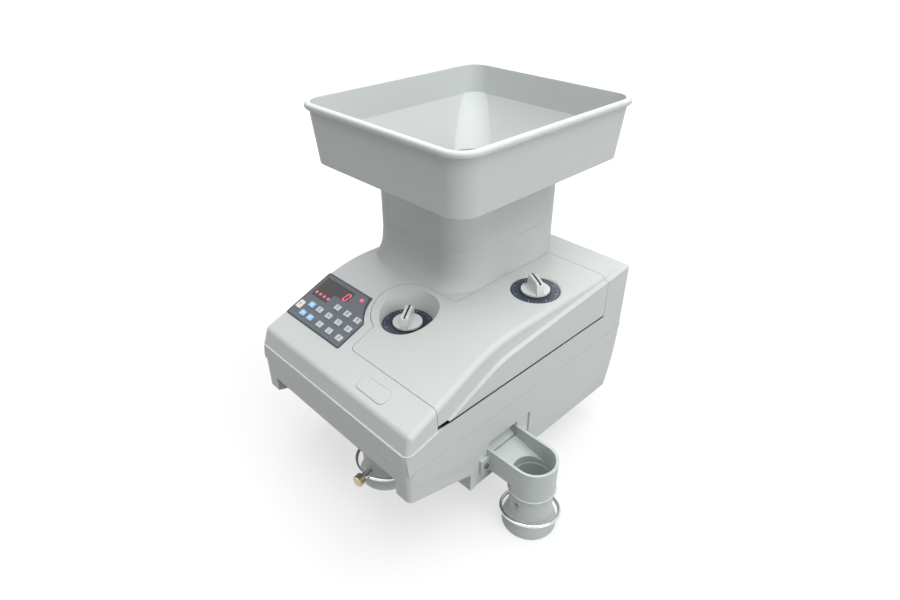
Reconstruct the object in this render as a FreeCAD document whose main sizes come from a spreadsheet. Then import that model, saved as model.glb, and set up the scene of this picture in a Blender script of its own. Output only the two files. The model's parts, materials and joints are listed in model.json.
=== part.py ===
import FreeCAD, Part
import math
import os
import Sketcher

# Coin sorting machine. X runs to the right, Y from front to back, Z up, in millimetres.
# The origin is the middle of the flat underside of the base.

doc = FreeCAD.newDocument("coin_sorter")
sheet = doc.addObject("Spreadsheet::Sheet", "Dims")
Vector = FreeCAD.Vector
rows = []
nodes = {}


class Size:
    """A length or angle that keeps its value and the sheet expression it comes from."""

    def __init__(self, value, text):
        self.value = value
        self.text = text

    def __add__(self, other):
        other = size(other)
        return Size(self.value + other.value, f"({self.text} + {other.text})")

    def __radd__(self, other):
        return size(other) + self

    def __sub__(self, other):
        other = size(other)
        return Size(self.value - other.value, f"({self.text} - {other.text})")

    def __rsub__(self, other):
        return size(other) - self

    def __mul__(self, other):
        other = size(other)
        return Size(self.value * other.value, f"({self.text} * {other.text})")

    def __rmul__(self, other):
        return size(other) * self

    def __truediv__(self, other):
        other = size(other)
        return Size(self.value / other.value, f"({self.text} / {other.text})")

    def __neg__(self):
        return Size(-self.value, f"(-{self.text})")


def size(number):
    """Give a plain number as a Size."""
    if isinstance(number, Size):
        return number
    return Size(float(number), f"({float(number)})")


def dim(name, value):
    """Write one driving dimension on the sheet and give it back as a Size."""
    rows.append(name)
    sheet.set(f"A{len(rows)}", name)
    sheet.set(f"B{len(rows)}", str(value))
    sheet.setAlias(f"B{len(rows)}", name)
    return Size(float(value), f"Dims.{name}")


def tangent(angle):
    """Tangent of an angle in degrees."""
    return Size(math.tan(math.radians(angle.value)), f"tan({angle.text} * 1 deg)")


def cosine(angle):
    """Cosine of an angle in degrees."""
    return Size(math.cos(math.radians(angle.value)), f"cos({angle.text} * 1 deg)")


def place(thing, x=0, y=0, z=0, axis=(0, 0, 1), angle=0):
    """Put an object at a point, turned about an axis."""
    angle = size(angle)
    turn = FreeCAD.Rotation(Vector(*axis), angle.value)
    thing.Placement = FreeCAD.Placement(Vector(0, 0, 0), turn)
    if angle.value:
        thing.setExpression("Placement.Rotation.Angle", angle.text)
    for letter, value in zip("xyz", (x, y, z)):
        thing.setExpression(f"Placement.Base.{letter}", size(value).text)
    return thing


def box(name, x, y, z):
    """A block between low and high limits on each axis."""
    block = doc.addObject("Part::Box", name)
    for prop, (low, high) in zip(("Length", "Width", "Height"), (x, y, z)):
        block.setExpression(prop, (size(high) - low).text)
    return place(block, x[0], y[0], z[0])


AXIS_TURN = {"X": ((0, 1, 0), 90), "Y": ((1, 0, 0), -90), "Z": ((0, 0, 1), 0)}


def rod(name, radius, along, x=0, y=0, z=0, axis="Z", end_radius=None):
    """A cylinder or cone along one axis, from along[0] to along[1]."""
    kind = "Part::Cylinder" if end_radius is None else "Part::Cone"
    bar = doc.addObject(kind, name)
    if end_radius is None:
        bar.setExpression("Radius", size(radius).text)
    else:
        bar.setExpression("Radius1", size(radius).text)
        bar.setExpression("Radius2", size(end_radius).text)
    bar.setExpression("Height", (size(along[1]) - along[0]).text)
    start = {"X": (along[0], y, z), "Y": (x, along[0], z), "Z": (x, y, along[0])}[axis]
    turn, angle = AXIS_TURN[axis]
    return place(bar, *start, axis=turn, angle=angle)


def fuse(name, *parts):
    """One solid made of several."""
    joined = doc.addObject("Part::MultiFuse", name)
    joined.Shapes = list(parts)
    joined.Refine = True
    return joined


def cut(name, base, *tools):
    """A solid with others taken out of it."""
    tool = tools[0] if len(tools) == 1 else fuse(name + "_tools", *tools)
    rest = doc.addObject("Part::Cut", name)
    rest.Base = base
    rest.Tool = tool
    rest.Refine = True
    return rest


def common(name, *parts):
    """What several solids share."""
    shared = doc.addObject("Part::MultiCommon", name)
    shared.Shapes = list(parts)
    return shared


def group(name, parts):
    """Separate like solids kept together as one node."""
    bundle = doc.addObject("Part::Compound", name)
    bundle.Links = list(parts)
    return bundle


def node(name, thing):
    """Register a finished sub-part under its node name."""
    thing.Label = name
    nodes[name] = thing
    return thing


def feature(name, shape):
    """Hold a shell whose curved form no primitive or sketch feature gives."""
    thing = doc.addObject("Part::Feature", name)
    thing.Shape = shape
    thing.Placement = FreeCAD.Placement()
    return thing


def rectangle(x, y):
    """Corner points of a rectangle between limits."""
    return [(x[0], y[0]), (x[1], y[0]), (x[1], y[1]), (x[0], y[1])]


def rounded(x, y, radius):
    """Points of a rectangle whose corners are arcs; a third number starts an arc."""
    left, right = x
    near, far = y
    return [
        (size(left) + radius, near),
        (size(right) - radius, near, radius),
        (right, size(near) + radius),
        (right, size(far) - radius, radius),
        (size(right) - radius, far),
        (size(left) + radius, far, radius),
        (left, size(far) - radius),
        (left, size(near) + radius, radius),
    ]


def circle(x, y, radius):
    """A round outline."""
    return ("circle", x, y, radius)


def arc_between(start, end, radius):
    """The short arc from start to end; a negative radius turns to the right."""
    chord = end - start
    half = chord.Length / 2
    reach = math.sqrt(max(radius * radius - half * half, 0))
    left = Vector(-chord.y, chord.x, 0).normalize()
    centre = (start + end) * 0.5 + left * (reach if radius > 0 else -reach)
    first, last = (start, end) if radius > 0 else (end, start)
    angles = [math.atan2(p.y - centre.y, p.x - centre.x) for p in (first, last)]
    ring = Part.Circle(centre, Vector(0, 0, 1), abs(radius))
    return Part.ArcOfCircle(ring, angles[0], angles[1])


def draw(sketch, outline):
    """Draw one closed outline and tie each of its points to the sheet."""
    ties = []
    if outline[0] == "circle":
        x, y, radius = [size(part) for part in outline[1:]]
        index = sketch.addGeometry(Part.Circle(Vector(x.value, y.value, 0), Vector(0, 0, 1), radius.value))
        ties.append((Sketcher.Constraint("DistanceX", -1, 1, index, 3, x.value), x.text))
        ties.append((Sketcher.Constraint("DistanceY", -1, 1, index, 3, y.value), y.text))
        ties.append((Sketcher.Constraint("Radius", index, radius.value), radius.text))
    else:
        points = [[size(part) for part in point] for point in outline]
        spots = [Vector(point[0].value, point[1].value, 0) for point in points]
        edges = []
        for number, point in enumerate(points):
            start = spots[number]
            end = spots[(number + 1) % len(spots)]
            bend = point[2].value if len(point) > 2 else 0
            curve = arc_between(start, end, bend) if bend else Part.LineSegment(start, end)
            index = sketch.addGeometry(curve)
            edges.append((index, 2, 1) if bend < 0 else (index, 1, 2))
        for number, (index, first, last) in enumerate(edges):
            following = edges[(number + 1) % len(edges)]
            ties.append((Sketcher.Constraint("Coincident", index, last, following[0], following[1]), None))
        for point, (index, first, last) in zip(points, edges):
            for kind, value in zip(("DistanceX", "DistanceY"), point):
                ties.append((Sketcher.Constraint(kind, -1, 1, index, first, value.value), value.text))
            if len(point) > 2:
                ties.append((Sketcher.Constraint("Radius", index, abs(point[2].value)),
                             f"abs({point[2].text})"))
    places = sketch.addConstraint([tie for tie, text in ties])
    for place_number, (tie, text) in zip(places, ties):
        if text:
            sketch.setExpression(f"Constraints[{place_number}]", text)


class Piece:
    """A body built from sketches; each feature lies between two levels along its plane's axis."""

    def __init__(self, name, x=0, y=0, z=0, axis=(0, 0, 1), angle=0):
        self.name = name
        self.count = 0
        self.body = doc.addObject("PartDesign::Body", name)
        place(self.body, x, y, z, axis, angle)

    def sketch(self, plane, outlines, level):
        self.count += 1
        sketch = self.body.newObject("Sketcher::SketchObject", f"{self.name}_sketch{self.count}")
        for datum in self.body.Origin.OriginFeatures:
            if datum.Role == plane + "_Plane":
                sketch.AttachmentSupport = [(datum, "")]
        sketch.MapMode = "FlatFace"
        offset = -size(level) if plane == "XZ" else size(level)
        sketch.setExpression("AttachmentOffset.Base.z", offset.text)
        for outline in outlines:
            draw(sketch, outline)
        return sketch

    def pad(self, plane, outlines, low, high):
        sketch = self.sketch(plane, outlines, high if plane == "XZ" else low)
        step = self.body.newObject("PartDesign::Pad", f"{self.name}_pad{self.count}")
        step.Profile = sketch
        step.setExpression("Length", (size(high) - low).text)
        return self

    def pocket(self, plane, outlines, low, high):
        sketch = self.sketch(plane, outlines, low if plane == "XZ" else high)
        step = self.body.newObject("PartDesign::Pocket", f"{self.name}_pocket{self.count}")
        step.Profile = sketch
        step.setExpression("Length", (size(high) - low).text)
        return self

    def revolve(self, outline):
        sketch = self.sketch("XZ", [outline], 0)
        step = self.body.newObject("PartDesign::Revolution", f"{self.name}_turn{self.count}")
        step.Profile = sketch
        step.ReferenceAxis = (sketch, ["V_Axis"])
        step.Angle = 360
        return self

    def round_edges(self, radius, wanted):
        doc.recompute()
        names = []
        last = self.body.Tip
        for number, edge in enumerate(last.Shape.Edges):
            if wanted(edge):
                names.append(f"Edge{number + 1}")
        self.count += 1
        step = self.body.newObject("PartDesign::Fillet", f"{self.name}_round{self.count}")
        step.Base = (last, names)
        step.setExpression("Radius", size(radius).text)
        self.body.Tip = step
        return self


# Housing
body_width = dim("body_width", 260)
body_depth = dim("body_depth", 360)
seam_height = dim("seam_height", 90)
lip_height = dim("lip_height", 113)
top_height = dim("top_height", 179)
wall = dim("wall", 3)
seam_gap = dim("seam_gap", 0.3)
panel_slope = dim("panel_slope", 21.5)
panel_front = dim("panel_front", 7.5)
panel_rise = dim("panel_rise", 20)
rear_bulge = dim("rear_bulge", 6)
side = body_width / 2
front = -body_depth / 2
rear = body_depth / 2 + rear_bulge

# Deck that carries the mechanism
deck_top = dim("deck_top", 128)
deck_thick = dim("deck_thick", 5)
deck_bottom = deck_top - deck_thick
post_inset = dim("post_inset", 32)
post_front = front + dim("post_front_from", 102)
post_rear = body_depth / 2 - dim("post_rear_from", 32)
post_spots = [(x, y) for x in (post_inset - side, side - post_inset) for y in (post_front, post_rear)]
post_radius = dim("post_radius", 6)
post_foot = dim("post_foot", 9)
screw_radius = dim("screw_radius", 2)
screw_head = dim("screw_head", 4.5)
fit_gap = dim("fit_gap", 0.05)

# Base pan
base_setback = dim("base_setback", 88)
base_front = front + base_setback
leg_front_height = dim("leg_front_height", 52)
leg_rear_height = dim("leg_rear_height", 25)
leg_width = dim("leg_width", 21)
apron_height = dim("apron_height", 70)
rear_foot = body_depth / 2 - dim("rear_undercut", 9)
rear_curve = dim("rear_curve", 315)
corner_radius = dim("corner_radius", 10)
crease_front = dim("crease_front", 74.5)
crease_rear = dim("crease_rear", 8.5)
crease_curve = dim("crease_curve", 1190)
crease_step = dim("crease_step", 1.2)
outlet_y = front + dim("outlet_from_front", 140)
outlet_width = dim("outlet_width", 47.6)
outlet_low = dim("outlet_low", 17)
outlet_high = dim("outlet_high", 54)
recess_reach = dim("recess_reach", 44)
recess_depth = dim("recess_depth", 1)
front_tube_x = dim("front_tube_x", 44)
front_tube_y = front + dim("front_tube_from_front", 40)
tube_bore = dim("tube_bore", 22.5)
foot_radius = dim("foot_radius", 9)
foot_height = dim("foot_height", 3)
foot_seat = dim("foot_seat", 1.5)
foot_inset = dim("foot_inset", 18)
foot_front = base_front + dim("foot_from_base_front", 13)
foot_rear = body_depth / 2 - dim("foot_from_rear", 26)
foot_spots = [(x, y) for x in (foot_inset - side, side - foot_inset) for y in (foot_front, foot_rear)]
inlet_x = dim("inlet_x", -70)
switch_x = dim("switch_x", -36)
power_height = dim("power_height", 41)
power_panel = rear_foot - dim("power_panel_inset", 0)
inlet_half = (dim("inlet_half_width", 14), dim("inlet_half_height", 10.5))
switch_half = (dim("switch_half_width", 10), dim("switch_half_height", 10.5))


def around(x, z, half):
    """A rectangle about a middle point."""
    return rectangle((x - half[0], x + half[0]), (z - half[1], z + half[1]))


pan = Piece("base_pan")
pan.pad("YZ", [[
    (front, leg_front_height),
    (base_front, leg_rear_height),
    (base_front, 0),
    (rear_foot, 0, rear_curve),
    (rear, seam_height),
    (front, seam_height),
]], -side, side)
pan.round_edges(corner_radius, lambda edge: all(
    abs(abs(v.X) - side.value) < 0.01 and (abs(v.Y - front.value) < 0.01 or v.Y >= rear_foot.value - 0.01)
    for v in edge.Vertexes) and abs(edge.Vertexes[0].Z - edge.Vertexes[1].Z) > 5)
pan.pocket("XY", [rectangle((leg_width - side, side - leg_width), (front - 1, base_front))],
           leg_rear_height - 5, apron_height)
pan.pocket("YZ", [[
    (base_front + wall, wall),
    (rear_foot - wall, wall, rear_curve),
    (rear - wall, seam_height + 1),
    (front + wall, seam_height + 1),
    (front + wall, apron_height + wall),
    (base_front + wall, apron_height + wall),
]], wall - side, side - wall)
for low, high in ((side - leg_width + wall, side - wall), (wall - side, leg_width - wall - side)):
    pan.pocket("YZ", [[
        (front + wall, leg_front_height + wall + 2),
        (base_front - wall, leg_rear_height + wall + 3),
        (base_front - wall, apron_height + wall + 1),
        (front + wall, apron_height + wall + 1),
    ]], low, high)
for low, high in ((side - crease_step, side + 1), (-1 - side, crease_step - side)):
    pan.pocket("YZ", [[
        (front - 1, -1),
        (rear + 14, -1),
        (rear + 14, crease_rear, -crease_curve),
        (front - 1, crease_front),
    ]], low, high)
pan.pocket("XZ", [rectangle((-side - 1, side + 1), (leg_rear_height, crease_front))],
           front - 1, front + crease_step)
pan.pocket("YZ", [rectangle((outlet_y - recess_reach, outlet_y + recess_reach), (-1, outlet_high + 2))],
           side - crease_step - recess_depth, side + 1)
pan.pocket("YZ", [rectangle((outlet_y - outlet_width / 2, outlet_y + outlet_width / 2),
                            (outlet_low + 12, outlet_high))], side - wall - 2, side + 1)
pan.pad("XY", [circle(x, y, post_radius + 3) for x, y in post_spots], wall - 1, post_foot)
pan.pocket("XY", [circle(x, y, screw_head + 0.4) for x, y in post_spots], -1, 4)
pan.pocket("XY", [circle(x, y, screw_radius + 0.3) for x, y in post_spots], -1, post_foot + 1)
pan.pocket("XY", [circle(x, y, foot_radius + 0.2) for x, y in foot_spots], -1, foot_seat)
pan.pocket("XY", [circle(front_tube_x, front_tube_y, tube_bore)], apron_height - 2, apron_height + wall + 2)
power_left = inlet_x - inlet_half[0] - 9
power_right = switch_x + switch_half[0] + 9
power_low = power_height - inlet_half[1] - 6
power_high = power_height + inlet_half[1] + 6
pan.pad("XZ", [rectangle((power_left - wall, power_right + wall), (power_low - wall, power_high + wall))],
        power_panel - wall, power_panel + 8)
pan.pocket("XZ", [rectangle((power_left, power_right), (power_low, power_high))],
           power_panel, rear + 2)
pan.pocket("XZ", [around(inlet_x, power_height, inlet_half), around(switch_x, power_height, switch_half)],
           power_panel - wall - 1, power_panel + 1)
node("base_pan", pan.body)

feet = []
for number, (x, y) in enumerate(foot_spots):
    feet.append(rod(f"foot{number}", foot_radius - 1, (-foot_height, foot_seat - 0.1), x, y,
                    end_radius=foot_radius))
node("rubber_feet", group("rubber_feet", feet))

# Frame of the sloped panel: local X runs to the right, local Y up the slope, local Z off the panel
panel_start = front + dim("panel_start_from_front", 34)
panel_origin_z = lip_height + panel_rise + tangent(panel_slope) * (panel_start - front - panel_front)


def panel_piece(name):
    """A body laid out on the sloped panel."""
    return Piece(name, 0, panel_start, panel_origin_z, axis=(1, 0, 0), angle=panel_slope)


def along_panel(from_front):
    """Distance up the slope of a point given from the front of the machine."""
    return (from_front + front - panel_start) / cosine(panel_slope)


# Keypad outline: a rectangle whose right far corner gives way to the dial well
pad_left = dim("pad_left", -122.5)
pad_right = dim("pad_right", -20)
pad_far = along_panel(dim("pad_far_from_front", 100))
pad_notch_x = dim("pad_notch_x", -40)
pad_notch_y = along_panel(dim("pad_notch_from_front", 71))
pad_notch_curve = dim("pad_notch_curve", 52)
pad_corner = dim("pad_corner", 3)
overlay_thick = dim("overlay_thick", 1.3)
overlay_proud = dim("overlay_proud", 0.3)
overlay_low = overlay_proud - overlay_thick


def keypad_outline(inset):
    """The keypad panel's outline drawn in by an amount."""
    curve = pad_notch_curve + inset
    return [
        (pad_left + inset + pad_corner, inset),
        (pad_right - inset - pad_corner, inset, pad_corner),
        (pad_right - inset, pad_corner + inset),
        (pad_right - inset, pad_notch_y - inset / 2, -curve),
        (pad_notch_x - inset / 2, pad_far - inset),
        (pad_left + inset + pad_corner, pad_far - inset, pad_corner),
        (pad_left + inset, pad_far - inset - pad_corner),
        (pad_left + inset, pad_corner + inset, pad_corner),
    ]


display_left = dim("display_left", -117)
display_step_x = dim("display_step_x", -87)
display_right = dim("display_right", -64)
display_near = along_panel(dim("display_near_from_front", 67))
display_step_y = along_panel(dim("display_step_from_front", 80))
display_far = along_panel(dim("display_far_from_front", 94))


def display_outline(inset):
    """The stepped outline of the display, drawn in by an amount."""
    return [
        (display_left + inset, display_near + inset),
        (display_step_x - inset, display_near + inset),
        (display_step_x - inset, display_step_y + inset),
        (display_right - inset, display_step_y + inset),
        (display_right - inset, display_far - inset),
        (display_left + inset, display_far - inset),
    ]


lamp_x = dim("lamp_x", -49.4)
lamp_y = along_panel(dim("lamp_from_front", 91.5))
lamp_radius = dim("lamp_radius", 2.4)

# Keys: a grid of nine with three blue keys, one grey key and the pink-white key to its left
key_length = dim("key_length", 9)
key_depth = dim("key_depth", 7.2)
red_key_length = dim("red_key_length", 8.4)
red_key_depth = dim("red_key_depth", 11)
key_gap = dim("key_gap", 0.3)
key_proud = dim("key_proud", 1.3)
key_travel = dim("key_travel", 0.8)
grid_left = dim("grid_left", -67)
grid_pitch = dim("grid_pitch", 18.2)
grid_rows = [along_panel(dim(f"grid_row_{number}_from_front", 44 + 13 * number)) for number in range(3)]
middle_row = (grid_rows[0] + grid_rows[1]) / 2
keys = {"key_red": (dim("red_key_x", -114.6), middle_row, red_key_length, red_key_depth)}
blue_spots = [(dim("blue_key_x", -100), grid_rows[1]), (dim("blue_key_near_x", -100.4), grid_rows[0]),
              (grid_left - grid_pitch - 0.8, grid_rows[0])]
for number, (x, y) in enumerate(blue_spots):
    keys[f"key_blue_{number + 1}"] = (x, y, key_length, key_depth)
keys["key_grey_0"] = (grid_left - grid_pitch + 0.6, grid_rows[1], key_length, key_depth)
for row_number, row_y in enumerate(grid_rows):
    for column in range(3):
        keys[f"key_grey_{3 * row_number + column + 1}"] = (grid_left + grid_pitch * column, row_y,
                                                           key_length, key_depth)


def key_outline(key, grow):
    """A key's outline drawn out by an amount."""
    x, y, length, depth = key
    return rounded((x - length / 2 - grow, x + length / 2 + grow),
                   (y - depth / 2 - grow, y + depth / 2 + grow), 0.8 + grow)


overlay = panel_piece("control_overlay")
overlay.pad("XY", [keypad_outline(size(0.15))], overlay_low, overlay_proud)
for key in keys.values():
    overlay.pocket("XY", [key_outline(key, key_gap)], overlay_low - 1, overlay_proud + 1)
overlay.pocket("XY", [display_outline(size(0)), circle(lamp_x, lamp_y, lamp_radius + 0.1)],
               overlay_low - 1, overlay_proud + 1)
node("control_overlay", overlay.body)

window = panel_piece("display_window")
window.pad("XY", [display_outline(size(0.1))], overlay_low, overlay_proud - 0.2)
node("display_window", window.body)

board_top = dim("board_top", -6)
board_thick = dim("board_thick", 1.6)
lamp = panel_piece("power_lamp")
lamp.pad("XY", [circle(lamp_x, lamp_y, lamp_radius)], board_top + 0.05, overlay_proud + 0.5)
node("power_lamp", lamp.body)

flange_top = overlay_low - 0.3
flange_low = flange_top - 1.2
stem_low = dim("stem_low", -4.2)
for name, key in keys.items():
    cap = panel_piece(name)
    cap.pad("XY", [key_outline(key, size(0))], flange_low, overlay_proud + key_proud)
    cap.pad("XY", [key_outline(key, size(0.7))], flange_low, flange_top)
    cap.pad("XY", [circle(key[0], key[1], 2)], stem_low, flange_low)
    node(name, cap.body)

board_left = pad_left + 3
board_right = pad_right - 5
board = panel_piece("control_board")
board.pad("XY", [rectangle((board_left, board_right), (-6, pad_far + 3))], board_top - board_thick, board_top)
board.pad("XY", [display_outline(size(1))], board_top, overlay_low - 0.2)
board.pad("XY", [circle(key[0], key[1], 2.5) for key in keys.values()],
          board_top, stem_low - key_travel - 0.1)
board.pad("XY", [circle(x, -3, 2.6) for x in (board_left + 20, board_right - 20)], board_top, -wall - 0.05)
node("control_board", board.body)

# Release pad in front of the lid, with the arm that carries the catch magnet
release_x = dim("release_x", 54.5)
release_y = along_panel(dim("release_from_front", 23))
release_half_length = dim("release_half_length", 21.5)
release_half_depth = dim("release_half_depth", 8.6)
release_corner = dim("release_corner", 6)
release_proud = dim("release_proud", 0.8)
release_travel = dim("release_travel", 2)
catch_half = dim("catch_half", 6)
catch_far = along_panel(dim("catch_from_front", 52))


def release_outline(grow):
    """The release pad's outline drawn out by an amount."""
    return rounded((release_x - release_half_length - grow, release_x + release_half_length + grow),
                   (release_y - release_half_depth - grow, release_y + release_half_depth + grow),
                   release_corner + grow)


button = panel_piece("release_button")
button.pad("XY", [release_outline(size(0))], -wall - 2, release_proud)
button.pad("XY", [release_outline(size(1.5))], -wall - 2, -wall - 0.35)
button.pad("XY", [rectangle((release_x - catch_half, release_x + catch_half), (release_y - 4,
                                                                               release_y + 4))],
           -wall - 7, -wall - 2)
button.pad("XY", [rectangle((release_x - catch_half, release_x + catch_half), (release_y - 4, catch_far))],
           -wall - 7, -wall - 5)
node("release_button", button.body)

magnet = panel_piece("catch_magnet")
magnet.pad("XY", [rectangle((release_x - catch_half + 1, release_x + catch_half - 1), (catch_far - 8,
                                                                                       catch_far - 1))],
           -wall - 5, -wall - 2.1)
node("catch_magnet", magnet.body)

strike = panel_piece("catch_strike")
strike.pad("XY", [rectangle((release_x - catch_half - 1, release_x + catch_half + 1), (catch_far - 8,
                                                                                       catch_far))],
           -wall - 1.7, -wall)
node("catch_strike", strike.body)

# Curved shells: helpers that work on the sheet's values


def corner_wire(points, radii):
    """A closed wire in the YZ plane with its corners rounded by arcs."""
    flat = [Vector(0, y, z) for y, z in points]
    legs = []
    for number, corner in enumerate(flat):
        before = (flat[number - 1] - corner).normalize()
        after = (flat[(number + 1) % len(flat)] - corner).normalize()
        bend = math.pi - before.getAngle(after)
        reach = radii[number] * math.tan(bend / 2)
        bisector = (before + after).normalize()
        depth = radii[number] / math.cos(bend / 2) - radii[number]
        legs.append((corner + before * reach, corner + bisector * depth, corner + after * reach,
                     radii[number]))
    edges = []
    for number, (start, middle, end, radius) in enumerate(legs):
        if radius:
            edges.append(Part.Arc(start, middle, end).toShape())
        edges.append(Part.LineSegment(end, legs[(number + 1) % len(legs)][0]).toShape())
    return Part.Wire(edges)


def drawn_in(points, insets):
    """Move each edge of an outline inward by its own amount; edge n starts at point n."""
    lines = []
    for number, (y, z) in enumerate(points):
        to_y, to_z = points[(number + 1) % len(points)]
        length = math.hypot(to_y - y, to_z - z)
        normal = (-(to_z - z) / length, (to_y - y) / length)
        lines.append((normal, normal[0] * y + normal[1] * z + insets[number]))
    moved = []
    for number in range(len(points)):
        (a, b), c = lines[number - 1]
        (d, e), f = lines[number]
        scale = a * e - b * d
        moved.append(((c * e - b * f) / scale, (a * f - c * d) / scale))
    return moved


def slab(points, radii, half):
    """A side outline carried across the machine."""
    face = Part.Face(corner_wire(points, radii))
    face.translate(Vector(-half, 0, 0))
    return face.extrude(Vector(2 * half, 0, 0))


def rounded_wire(x, y, radius, z):
    """A rounded rectangle as a level wire."""
    left, right = x
    near, far = y
    corners = [(right - radius, near + radius, -90), (right - radius, far - radius, 0),
               (left + radius, far - radius, 90), (left + radius, near + radius, 180)]
    arcs = []
    for cx, cy, start in corners:
        ring = Part.Circle(Vector(cx, cy, z), Vector(0, 0, 1), radius)
        arcs.append(Part.ArcOfCircle(ring, math.radians(start), math.radians(start + 90)))
    edges = []
    for number, arc in enumerate(arcs):
        edges.append(arc.toShape())
        edges.append(Part.LineSegment(arc.EndPoint, arcs[(number + 1) % 4].StartPoint).toShape())
    return Part.Wire(edges)


def upright(wire, height):
    """A level wire carried upward."""
    return Part.Face(wire).extrude(Vector(0, 0, height))


# Upper housing: a lower band up to the ledge line and a leaning top part that stands in from it
ledge = dim("ledge", 1.6)
side_lean = dim("side_lean", 5)
edge_round = dim("edge_round", 6)
panel_blend = dim("panel_blend", 180)
ledge_mid_y = front + dim("ledge_mid_from_front", 130)
ledge_mid_z = top_height - dim("ledge_mid_drop", 21.5)
ledge_near_y = front + dim("ledge_near_from_front", 45)
ledge_near_z = lip_height + dim("ledge_near_rise", 9.5)
top_back = body_depth / 2 - ledge
panel_top_y = front + panel_front + (top_height - lip_height - panel_rise) / tangent(panel_slope)
shell_low = seam_height + seam_gap

neck_x = dim("neck_x", -41.5)
neck_y = dim("neck_y", 75)
neck_width = dim("neck_width", 163)
neck_depth = dim("neck_depth", 180)
neck_radius = dim("neck_radius", 40)
neck_seam = dim("neck_seam", 225)
flare_reach = dim("flare_reach", 12)


def upper_volume(inset, low):
    """The whole upper housing as a solid, drawn in by an amount."""
    insets = [0] + [inset] * 5
    band = [(front.value, low), (rear.value, low), (rear.value - 4.5, top_height.value - 1.5),
            (ledge_mid_y.value, ledge_mid_z.value), (ledge_near_y.value, ledge_near_z.value),
            (front.value, lip_height.value)]
    band_radii = [0, 0, 0, 130 - inset, 120 + inset, 0]
    crown = [(front.value + ledge.value, low), (rear.value - ledge.value, low),
             (top_back.value, top_height.value), (panel_top_y.value, top_height.value),
             (front.value + panel_front.value, lip_height.value + panel_rise.value),
             (front.value + ledge.value, lip_height.value)]
    crown_radii = [0, 0, edge_round.value + 3 - inset, panel_blend.value - inset,
                   edge_round.value + 2 - inset, 0]
    lower = slab(drawn_in(band, insets), band_radii, side.value - inset)
    plan = rounded_wire((inset - side.value, side.value - inset), (front.value + inset, rear.value - inset),
                        corner_radius.value - inset, low)
    lower = lower.common(upright(plan, top_height.value))
    upper = slab(drawn_in(crown, insets), crown_radii, side.value)
    foot = side.value - ledge.value - inset
    lean = side_lean.value / (top_height.value - lip_height.value)
    drop = (lip_height.value - low) * lean
    rise = (top_height.value + 10 - lip_height.value) * lean
    across = [Vector(-foot - drop, front.value - 20, low), Vector(foot + drop, front.value - 20, low),
              Vector(foot - rise, front.value - 20, top_height.value + 10),
              Vector(rise - foot, front.value - 20, top_height.value + 10)]
    wedge = Part.Face(Part.makePolygon(across + across[:1])).extrude(Vector(0, body_depth.value + 60, 0))
    upper = upper.common(wedge)
    if inset == 0:
        edges = []
        for edge in upper.Edges:
            middle = edge.valueAt((edge.FirstParameter + edge.LastParameter) / 2)
            ends = [v.Point for v in edge.Vertexes]
            leaning = all(abs(abs(p.x) - (foot - (p.z - lip_height.value) * lean)) < 0.02 for p in ends + [middle])
            if leaning and min(p.z for p in ends) >= lip_height.value - 0.01:
                edges.append(edge)
        upper = upper.makeFillet(edge_round.value, edges)
    return lower.fuse(upper)


outer = upper_volume(0, shell_low.value)
inner = upper_volume(wall.value, shell_low.value - 5)
neck_x_limits = (neck_x.value - neck_width.value / 2, neck_x.value + neck_width.value / 2)
neck_y_limits = (neck_y.value - neck_depth.value / 2, neck_y.value + neck_depth.value / 2)


def neck_prism(inset, low, high):
    """The neck's rounded outline, drawn in by an amount, between two levels."""
    wire = rounded_wire((neck_x_limits[0] + inset, neck_x_limits[1] - inset),
                        (neck_y_limits[0] + inset, neck_y_limits[1] - inset), neck_radius.value - inset, low)
    return upright(wire, high - low)


flare_steps = [(1.6, -9), (1.0, 0), (0.5, 8), (0.18, 18), (0.0, 32)]
flare_wires = []
for share, rise in flare_steps:
    flare_wires.append(rounded_wire(neck_x_limits, (neck_y_limits[0] - share * flare_reach.value,
                                                    neck_y_limits[1]),
                                    neck_radius.value, top_height.value + rise))
flare = Part.makeLoft(flare_wires, True)
collar_low = top_height.value - 9
collar = neck_prism(0, collar_low, neck_seam.value).fuse(flare.cut(inner))
shell = outer.cut(inner).fuse(collar)
shell = shell.cut(neck_prism(wall.value, collar_low - 10, neck_seam.value + 10)).removeSplitter()

# Lid: the cover over the coin path, with the wells of both dials
lid_front = front + dim("lid_front_from_front", 42)
lid_left = dim("lid_left", -8)
lid_corner = dim("lid_corner", 6)
lid_arc_x = dim("lid_arc_x", 1.3)
lid_arc_y = front + dim("lid_arc_from_front", 112.3)
lid_arc_radius = dim("lid_arc_radius", 38.3)
lid_rear = front + dim("lid_rear_from_front", 316)
lid_low = dim("lid_low", 126.6)
lid_slot = dim("lid_slot", 2.6)
lid_gap = dim("lid_gap", 0.6)


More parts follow.
